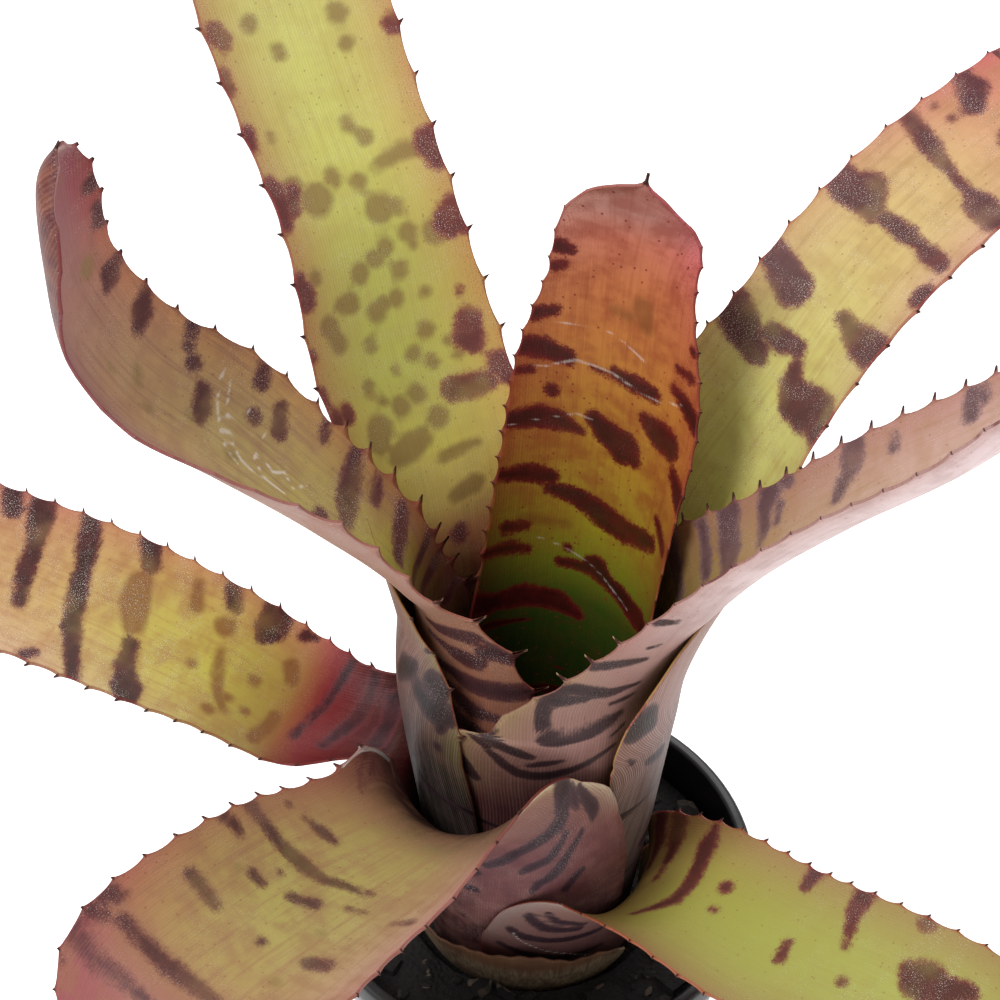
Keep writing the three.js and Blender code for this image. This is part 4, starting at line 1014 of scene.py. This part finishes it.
# %% The big leaf that arches over to the lower left
leaf_front_left = {
    "azimuth": 236, "shell": 6.1, "teeth_from": 117, "tooth_pitch": 11, "awl": 4, "slot": "leaf_tan",
    "thorns": ((0, 1.4), (130, 2), (170, 1.9), (200, 1.1), (290, 0.9)),
    "sheath": [[sheath_foot, 63, 12], [16, 65, 15], [43, 66, 17]],
    "blade": [
        [48, 73, 1, 50, 60, 1, 19], [55, 87, -1, 43, 62, 1, 18], [66, 97, -5, 36, 50, 0, 11],
        [97, 101, -7, 37, 41, -5, 0], [133, 111, -11, 39, 31, -8, 0], [161, 115, -13, 39, 24, -3, 0],
        [176, 107, -13, 33, 16, 5, 0], [187, 88, -12, 28, 14, 8, 0], [193, 70, -11, 20, 13, 8, 0],
        [196, 56, -10, 11, 12, 6, 0], [197, 50, -10, 4, 12, 6, 0],
    ],
    # The near-black stops below about 121 mm are painted shade in the deep hollow between this leaf's inner
    # base and the tank.
    "tint_upper": [
        (0, (20, 8, 8)),
        (100, (30, 12, 12), (34, 14, 14), (64, 24, 24)),
        (112, (62, 40, 32), (60, 38, 34), (96, 44, 42)),
        (121, (114, 90, 58), (114, 82, 72), (122, 70, 60)),
        (130, (150, 132, 76), (158, 114, 102), (146, 90, 72)),
        (150, (162, 149, 83), (168, 124, 112), (154, 106, 77)),
        (180, (163, 150, 84), (172, 130, 118), (157, 111, 77)),
        (205, (158, 134, 80), (168, 118, 108), (156, 92, 78)),
        (222, (146, 92, 84), (150, 92, 94), (144, 70, 82)),
        (297, (134, 70, 82), (134, 70, 84), (132, 66, 82)),
    ],
    "tint_under": [
        (0, (60, 40, 38), (60, 24, 26), (110, 98, 92)),
        (38, (70, 48, 46), (62, 22, 28), (140, 126, 120)),
        (46, (92, 60, 60), (60, 26, 30), (140, 128, 122)),
        (58, (98, 62, 62), (64, 28, 32), (130, 110, 102)),
        (66, (98, 60, 62), (62, 26, 30), (120, 98, 92)),
        (88, (98, 60, 62), (92, 56, 54), (120, 84, 76)),
        (96, (104, 66, 64), (196, 182, 150), (130, 88, 74)),
        (112, (126, 88, 74), (206, 188, 150), (150, 104, 84)),
        (200, (160, 136, 106), (160, 126, 106)),
        (297, (160, 126, 106), (160, 104, 94)),
    ],
    "band_light_upper": (100, 56, 52), "band_dark_upper": (60, 28, 34), "band_depth_upper": 0.9,
    "band_light_under": (64, 42, 50), "band_dark_under": (34, 20, 28), "veins_under": 0.4,
    "vein_colour_under": (96, 44, 52), "veins_upper": 0.1, "scurf_under": 1.2, "scurf_upper": 0.45,
    "seen_upper": [(100, 290, -2, 2)], "seen_under": [(25, 122, -0.6, 2)],
    "bands_upper": [
        [(211, -0.97, 3.5), (209.5, -0.88, 2.5)], [(216, -0.96, 3), (214.5, -0.85, 2)],
        [(221, -0.97, 3)],
        [(212.5, -0.75, 2.2), (212.5, -0.5, 2.6), (213, -0.28, 3), (213, 0, 3), (213, 0.2, 2.4)],
        [(221.5, -0.9, 2.5), (222.5, -0.65, 2), (223, -0.4, 2), (223.5, -0.2, 1.5)], [(226, -0.97, 1.5)],
        [(190, -0.7, 2.5), (189.5, -0.52, 2.5), (189.5, -0.4, 2)], [(171, -0.97, 2.5)],
        [(169.5, -0.88, 2.5), (169, -0.8, 2)], [(173, -0.45, 2.5), (172.5, -0.36, 2)],
        [(160, -0.97, 3), (158.5, -0.75, 2.5), (157.5, -0.5, 3), (156.5, -0.3, 3.5), (154.5, -0.1, 2),
         (151, 0.05, 2), (149, 0.25, 1.5)], [(168, -0.12, 2), (164.5, 0.03, 3)],
        [(158, 0.25, 1.2), (156, 0.38, 1.2)], [(143, -0.7, 1.5), (141.5, -0.5, 2.5), (141, -0.4, 1.5)],
        [(145, -0.85, 1.5)], [(165, -0.35, 1.5)], [(184, 0.45, 3), (181, 0.58, 3)],
        [(156, 0.7, 1.5), (154, 0.82, 1.5)], [(188, 0.05, 2)], [(95, -1, 0.7), (98, -0.84, 0.4)],
        [(98, -1, 0.7), (101, -0.84, 0.4)], [(101, -1, 0.8), (104, -0.82, 0.5)],
        [(104, -1, 0.8), (107, -0.82, 0.5)], [(107, -1, 0.8), (110, -0.8, 0.5)],
        [(110, -1, 0.9), (114, -0.78, 0.5)], [(113, -1, 0.9), (118, -0.76, 0.5)],
        [(116, -1, 0.9), (122, -0.7, 0.5)], [(262, -0.4, 3), (263, 0.3, 3)],
        [(240, -0.5, 3), (242, 0, 4), (240, 0.5, 3)],
    ],
    "spots_upper": [
        [(176, -0.55, 1.6)], [(172, 0.3, 1.5)], [(196, 0.4, 2)],
    ],
    "bands_under": [
        [(109, 1, 2), (106, 0.9, 2.5), (103, 0.8, 3), (99.5, 0.7, 2), (97, 0.57, 2), (94, 0.36, 2.5),
         (90, 0.17, 2.5), (84, 0.03, 2.5), (78, -0.1, 2)],
        [(109, 0.93, 0.8), (107, 0.85, 1.2), (105.5, 0.8, 0.8)],
        [(105, 0.96, 1), (101, 0.87, 1.5), (98, 0.78, 1.2)],
        [(102.5, 0.97, 1.2), (99, 0.9, 2), (95, 0.83, 2.8), (93, 0.79, 1.5)],
        [(93, 0.58, 1.2), (88, 0.46, 1.8), (84.5, 0.39, 1.8), (82, 0.3, 2.4), (79.5, 0.21, 2.4),
         (77, 0.15, 1.5)],
        [(91, 0.69, 1), (85.5, 0.55, 1.5), (81, 0.48, 2), (77.5, 0.43, 2.4), (74, 0.37, 2.4),
         (70.5, 0.29, 2.2), (65, 0.24, 1.5)], [(75, 0.62, 1.5), (71, 0.55, 2), (65, 0.49, 1.8)],
        [(58, -0.24, 2), (59, -0.16, 2)], [(71, -0.15, 1.5), (68, -0.2, 1.2)],
    ],
    "mottle_upper": (142, 100, 74), "mottle_depth": 0.55,
    "streaks_upper": 0.5,
    "edge_under": 12, "dust": ((0, 1), (55, 1), (75, 0.5), (110, 0.5), (150, 1)), "band_edge_upper": 1.4,
    "silver_upper": [[(104, -0.97, 0.5), (112, -0.97, 0.8), (122, -0.98, 0.4)]],
    "widen_left": (
        (0, 0), (40, -3), (60, -6), (80, -8), (88, -6), (95, 0), (101, 1), (108, 3), (114, 3), (120, 0)),
    "widen_right": ((0, 0), (92, 0), (104, 5), (116, 5), (124, 0)),
}

# %% The leaf that arches over to the lower right
leaf_front_right = {
    "azimuth": -41, "shell": 6.9, "teeth_from": 55, "tooth_pitch": 9, "awl": 4, "slot": "leaf_green",
    "thorns": ((0, 1.5), (80, 1.5), (110, 1.3), (240, 1)),
    "sheath": [[sheath_foot, 57, -10], [6, 64, -11], [22, 58, -15]],
    "blade": [
        [45, 34, 0, 41, 62, 6, -16], [52, 42, 0, 35, 60, 5, -10], [70, 52, -1, 32, 41, 3, -3],
        [106, 58, -1, 30, 22, 6, 0], [147, 64, 4, 29, 20, 5, 0], [178, 62, 6, 29, 18, 3, 0],
        [206, 51, 3, 25, 15, 2, 0], [226, 42, 2, 16, 14, 1, 0], [234, 36, 2, 4, 13, 1, 0],
    ],
    "tint_upper": [
        (0, (50, 30, 20)),
        (50, (146, 120, 66), (150, 110, 70), (136, 92, 60)),
        (70, (146, 142, 62), (150, 112, 68), (146, 112, 68)),
        (100, (152, 154, 70), (150, 116, 72), (152, 124, 80)),
        (140, (158, 160, 80), (150, 124, 76), (154, 130, 80)),
        (248, (160, 160, 86), (150, 120, 80)),
    ],
    "tint_under": [
        (0, (64, 38, 38), (62, 30, 28), (76, 28, 26)),
        (20, (92, 62, 62), (74, 42, 38), (86, 34, 32)),
        (40, (112, 80, 76), (110, 72, 60), (140, 122, 114)),
        (60, (130, 98, 84), (130, 90, 74), (166, 150, 138)),
        (248, (158, 144, 104), (158, 128, 96)),
    ],
    "band_light_under": (52, 34, 42), "band_dark_under": (28, 16, 22), "band_light_upper": (114, 51, 47),
    "band_dark_upper": (73, 27, 31), "margin_colour": (150, 40, 40), "veins_under": 0.22,
    "vein_colour_under": (110, 80, 78), "scurf_upper": 1.4,
    "seen_upper": [(44, 180, -2, 2)], "seen_under": [(6, 62, -2, 0.4)],
    "bands_upper": [
        [(50, 0.97, 3), (49, 0.75, 2.5), (47, 0.5, 2)],
        [(55, 0.97, 3.5), (55.5, 0.75, 3), (55, 0.52, 2.2), (54, 0.3, 1.5)],
        [(69, 0.95, 1.5), (68.5, 0.78, 3), (68.5, 0.62, 3.5), (69, 0.45, 3.5), (70, 0.22, 3),
         (70, 0.02, 3), (66, -0.15, 2.5), (63, -0.35, 1.5)], [(82, 0.38, 3)], [(84, 0.07, 1.8)],
        [(107.5, 0.97, 4), (106.5, 0.78, 2.5)],
        [(128, 0.95, 4), (127, 0.75, 3.5), (128, 0.5, 2), (129.5, 0.3, 1.5)], [(149, 0.93, 3)],
        [(151, 0.38, 4), (156, 0.32, 8), (162, 0.32, 6), (168, 0.45, 4)],
        [(112, 0.1, 2), (113, -0.15, 2)], [(134, -0.1, 2.5)],
        [(184, -0.5, 4), (182, 0, 5), (185, 0.5, 4)], [(205, 0.7, 3), (206, 0.1, 4)], [(224, 0, 3)],
    ],
    "spots_upper": [
        [(140, -0.5, 2)],
    ],
    "bands_under": [
        [(48, -0.8, 1), (46, -0.62, 1.3), (45, -0.45, 1.3), (43, -0.28, 1)],
        [(45, -0.85, 1.2), (42, -0.62, 1.5), (41, -0.45, 1.5), (40, -0.28, 1.5)],
        [(39, -0.85, 1.2), (36, -0.66, 2), (34.5, -0.5, 2.2), (33.5, -0.32, 2.2), (33, -0.05, 1.5)],
        [(27, -0.85, 1.5), (23.5, -0.68, 2.2), (21.5, -0.5, 2.2), (19.5, -0.3, 1.8), (20, -0.05, 1.5)],
        [(18, -0.68, 1.5), (14.5, -0.5, 2), (12, -0.3, 2), (10, -0.1, 1.5)],
    ],
    "silver_under": [
        [(38, -0.8, 0.4), (31, -0.66, 0.4), (26, -0.5, 0.4), (22, -0.32, 0.4), (15, -0.12, 0.4)],
    ],
    "mottle_upper": (150, 132, 70),
}

# %% Grow the leaves
leaves = {
    "leaf_centre": leaf_centre,
    "leaf_left_upper": leaf_left_upper,
    "leaf_right": leaf_right,
    "leaf_back_left": leaf_back_left,
    "leaf_back_right": leaf_back_right,
    "leaf_left_lower": leaf_left_lower,
    "leaf_front_left": leaf_front_left,
    "leaf_front_right": leaf_front_right,
}
for name, own in leaves.items():
    look = {**common_look, **own}
    faces = [leaf_skin(name + "_" + face, face, look) for face in ("upper", "under")]
    make_leaf(name, look, faces)

# %% [markdown]
# ## The old sheath
# At the foot of the tank one leaf has died back. Only its papery base is left, with a torn edge.

# %% The papery sheath and its torn edge
dry_rows = [(40.9, -8), (44.3, 2), (47, 12), (47.6, 24)]
dry_azimuth = 262
dry_half_wrap = 56


def torn_top(across):
    """How much of the sheath's height is left, from 0 to 1, across from -1 to 1."""
    wave = 0.86 + 0.07 * np.sin(5 * across + 1.4) + 0.02 * np.sin(13 * across)
    wave = wave + 0.012 * np.sin(41 * across)
    return wave * np.sqrt(np.maximum(1 - across**6, 0.04))


paper_sheet = bmesh.new()
bmesh.ops.create_grid(paper_sheet, x_segments=24, y_segments=96, size=1)
for v in paper_sheet.verts:
    share = (v.co.x + 1) / 2
    across = v.co.y
    t = np.array([3 * share * float(torn_top(across))])
    out, up = along_stations(np.array(dry_rows, float), t)[0][0]
    angle = math.radians(dry_azimuth + dry_half_wrap * across)
    out += 0.2 * math.sin(17 * across) * share
    v.co = (out * mm * math.cos(angle), out * mm * math.sin(angle), (soil_level + up) * mm)
bmesh.ops.recalc_face_normals(paper_sheet, faces=paper_sheet.faces)
paper = stand("sheath_dry_live", paper_sheet)
paper_wall = paper.modifiers.new("paper_thickness", "SOLIDIFY")
paper_wall.thickness = 0.7 * mm
paper_wall.offset = 0

# %% The dry, fibrous finish
dry = Finish("dry_sheath")
dry_place = dry.place()
fibre = dry.noise(dry.stretched(dry_place, 900, 900, 90), 1.0, 3, 0.6)
stain = dry.noise(dry_place, 60, 3)
dry_colour = dry.mix(fibre.soft_step(0.3, 0.7), colour(102, 84, 62), colour(150, 130, 102))
torn_edge = dry.part(dry_place, "Z").soft_step((soil_level + 10) * mm, (soil_level + 16) * mm)
dry_colour = dry.mix(torn_edge * 0.85, dry_colour, colour(104, 64, 38))
dry_colour = dry.mix(stain.soft_step(0.45, 0.65) * 0.7, dry_colour, colour(84, 52, 34))
paper.data.materials.append(dry.finish_with(
    Base_Color=dry_colour, Roughness=0.75 + stain * 0.1, Normal=dry.bump(fibre, 0.4 * mm, 0.7)))
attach(paper, "root")
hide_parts("sheath_dry")
print("dry sheath:", len(paper.data.polygons), "faces")

# %% [markdown]
# ## The pot
# A nursery pot is one thin shell of black plastic, with a rolled lip and drain holes. A shell of
# revolution is what a spin makes best: half its outline goes once round the axis.

# %% The outline of the wall, spun round
pot_sides = 96
pot_wall = 1.8
pot_floor = 3
base_radius = 57.5
lip_base_radius = 76
lip_base = 131


def wall_radius(height):
    return base_radius + (lip_base_radius - base_radius) * height / lip_base


outline = [
    (56.7, 0), (57.3, 0.25), (57.6, 0.9), (wall_radius(60), 60), (wall_radius(130.2), 130.2),
    (wall_radius(lip_base) + 0.5, 130.7), (79.2, lip_base), (79.9, 131.4), (80, 132.2), (80, 138.4),
    (79.7, 139.3), (79, 139.85), (78, 140), (76.6, 140), (75.9, 139.8), (75.4, 139.2), (75.2, 138.2),
    (wall_radius(128) - pot_wall, 128), (wall_radius(60) - pot_wall, 60),
    (wall_radius(pot_floor) - pot_wall, pot_floor),
]
pot_shell = bmesh.new()
profile = [pot_shell.verts.new((radius * mm, 0, height * mm)) for radius, height in outline]
for lower, upper in zip(profile, profile[1:]):
    pot_shell.edges.new((lower, upper))
bmesh.ops.spin(
    pot_shell, geom=pot_shell.verts[:] + pot_shell.edges[:], cent=(0, 0, 0), axis=(0, 0, 1),
    angle=math.tau, steps=pot_sides, use_merge=True, use_duplicate=False)

# %% The floor with its drain holes
drain_holes = 8
drain_radius = 5
drain_circle = 41


def ring(shell, radius, height, sides, centre):
    made = bmesh.ops.create_circle(shell, cap_ends=False, segments=sides, radius=radius * mm)
    for v in made["verts"]:
        v.co.x += centre[0] * mm
        v.co.y += centre[1] * mm
        v.co.z = height * mm
    return list({e for v in made["verts"] for e in v.link_edges})


hole_angles = [math.tau * k / drain_holes for k in range(drain_holes)]
hole_centres = [(drain_circle * math.cos(a), drain_circle * math.sin(a)) for a in hole_angles]
plates = []
for height, radius in (outline[0][::-1], outline[-1][::-1]):
    outer = [e for e in pot_shell.edges if all(
        abs(v.co.z - height * mm) < 1e-6 and abs(v.co.xy.length - radius * mm) < 1e-5 for v in e.verts)]
    holes = [ring(pot_shell, drain_radius, height, 24, centre) for centre in hole_centres]
    plates.append(holes)
    bmesh.ops.triangle_fill(
        pot_shell, use_beauty=True, use_dissolve=False, edges=outer + [e for h in holes for e in h])
for low_ring, high_ring in zip(*plates):
    bmesh.ops.bridge_loops(pot_shell, edges=low_ring + high_ring)
bmesh.ops.remove_doubles(pot_shell, verts=pot_shell.verts, dist=1e-6)
bmesh.ops.recalc_face_normals(pot_shell, faces=pot_shell.faces)
loose_edges = [e for e in pot_shell.edges if len(e.link_faces) != 2]
print("pot:", len(pot_shell.faces), "faces,", len(loose_edges), "open edges")
pot = stand("pot_live", pot_shell)
pot.data.set_sharp_from_angle(angle=math.radians(35))

# %% Satin black plastic
plastic = Finish("pot_plastic")
plastic_place = plastic.place()
grain = plastic.noise(plastic_place, 900, 2)
smear = plastic.noise(plastic.stretched(plastic_place, 1, 1, 0.3), 26, 3)
dust = smear.soft_step(0.5, 0.75)
pot.data.materials.append(plastic.finish_with(
    Base_Color=plastic.mix(dust * 0.2, colour(15, 15, 17), colour(62, 60, 58)),
    Roughness=0.3 + dust * 0.25 + grain * 0.06,
    Normal=plastic.bump(grain, 0.05 * mm, 0.4)))
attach(pot, "root")
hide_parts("pot")

# %% [markdown]
# ## The potting mix
# The mix is peat and bark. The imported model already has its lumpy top, so it stays and gets a
# crumbly finish, and loose crumbs of bark are strewn over it.

# %% A crumbly finish for the mix and the stump
crumb = Finish("potting_mix")
crumb_place = crumb.place()
lump = crumb.cells(crumb_place, 420)
fine_crumb = crumb.noise(crumb_place, 1100, 3, 0.7)
crumb_colour = crumb.mix(fine_crumb.soft_step(0.35, 0.75), colour(5, 5, 5), colour(24, 20, 17))
potting_mix = crumb.finish_with(
    Base_Color=crumb_colour, Roughness=0.8 + fine_crumb * 0.15,
    Normal=crumb.bump(lump + fine_crumb * 0.5, 1.2 * mm, 1.0))
wood = Finish("stump")
ring_lines = wood.noise(wood.stretched(wood.place(), 300, 300, 60), 1.0, 3)
stump = wood.finish_with(
    Base_Color=wood.mix(ring_lines, colour(70, 50, 34), colour(120, 92, 62)),
    Roughness=0.8 + ring_lines * 0.1, Normal=wood.bump(ring_lines, 0.5 * mm, 0.8))


def refinish(node, material):
    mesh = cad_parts[node].data
    mesh.materials.clear()
    mesh.materials.append(material)
    print(node, "keeps its solid and gets", material.name)


refinish("soil", potting_mix)
refinish("stem", stump)

# %% Strew crumbs of bark
strewn = random.Random(7)
crumbs = bmesh.new()
crumb_count = 170
for k in range(crumb_count):
    angle = strewn.uniform(0, math.tau)
    away = math.sqrt(strewn.uniform(48**2, 72**2))
    size = strewn.uniform(0.8, 2.4) * (2.2 if k % 14 == 0 else 1)
    made = bmesh.ops.create_icosphere(crumbs, subdivisions=1, radius=1)["verts"]
    flat = strewn.uniform(0.35, 0.7)
    long = strewn.uniform(1.0, 1.9)
    turn = strewn.uniform(0, math.tau)
    for v in made:
        x, y, z = v.co.x * size * long, v.co.y * size, v.co.z * size * flat
        x += strewn.uniform(-0.2, 0.2) * size
        y += strewn.uniform(-0.2, 0.2) * size
        v.co = (
            (away * math.cos(angle) + x * math.cos(turn) - y * math.sin(turn)) * mm,
            (away * math.sin(angle) + x * math.sin(turn) + y * math.cos(turn)) * mm,
            (soil_level + 0.8 + z) * mm,
        )
bark_crumbs = stand("bark_crumbs", crumbs, smooth=False)
bark = Finish("bark")
bark_place = bark.place()
piece_tone = bark.cells(bark_place, 240, "Color")
bark_tone = bark.part(piece_tone, "X")
bark_crumbs.data.materials.append(bark.finish_with(
    Base_Color=bark.mix(bark_tone.power(4), colour(8, 7, 6), colour(84, 74, 64)),
    Roughness=0.85 + bark_tone * 0.1,
    Normal=bark.bump(bark.noise(bark_place, 1500, 2), 0.3 * mm, 0.8)))
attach(bark_crumbs, "root")
print("bark crumbs:", crumb_count)

# %% [markdown]
# ## Floor and light
# The plant was photographed on white, in the soft light of a studio. A large white floor and
# three broad lamps give that: a key from the upper left, a fill from the right, one from behind.

# %% A plain white floor
floor_sheet = bmesh.new()
bmesh.ops.create_grid(floor_sheet, x_segments=1, y_segments=1, size=6)
floor = stand("floor", floor_sheet, smooth=False)
white = Finish("floor_white")
floor.data.materials.append(white.finish_with(
    Base_Color=(0.9, 0.9, 0.9, 1), Roughness=0.9,
    Emission_Color=(1, 1, 1, 1), Emission_Strength=0.68))


# %% Soft lamps and a bright room
def lamp(name, power, size, place, aim=(0, 0, 0.3)):
    data = bpy.data.lights.new(name, "AREA")
    data.energy = power
    data.shape = "DISK"
    data.size = size
    made = bpy.data.objects.new(name, data)
    made.location = place
    away = [a - b for a, b in zip(place, aim)]
    flat = math.hypot(away[0], away[1])
    made.rotation_euler = (math.atan2(flat, away[2]), 0, math.atan2(away[0], -away[1]))
    bpy.context.collection.objects.link(made)
    print(name, "at", place)


lamp("key", 24, 0.7, (-0.9, -0.5, 1.7))
lamp("fill", 7, 1.4, (1.5, -0.7, 1.1))
lamp("back", 12, 1.4, (0.2, 1.4, 1.5))
world = bpy.data.worlds.new("room")
world.use_nodes = True
room = world.node_tree.nodes["Background"]
room.inputs["Color"].default_value = (1, 1, 1, 1)
room.inputs["Strength"].default_value = 0.5
bpy.context.scene.world = world
bpy.context.scene.view_settings.view_transform = "Standard"
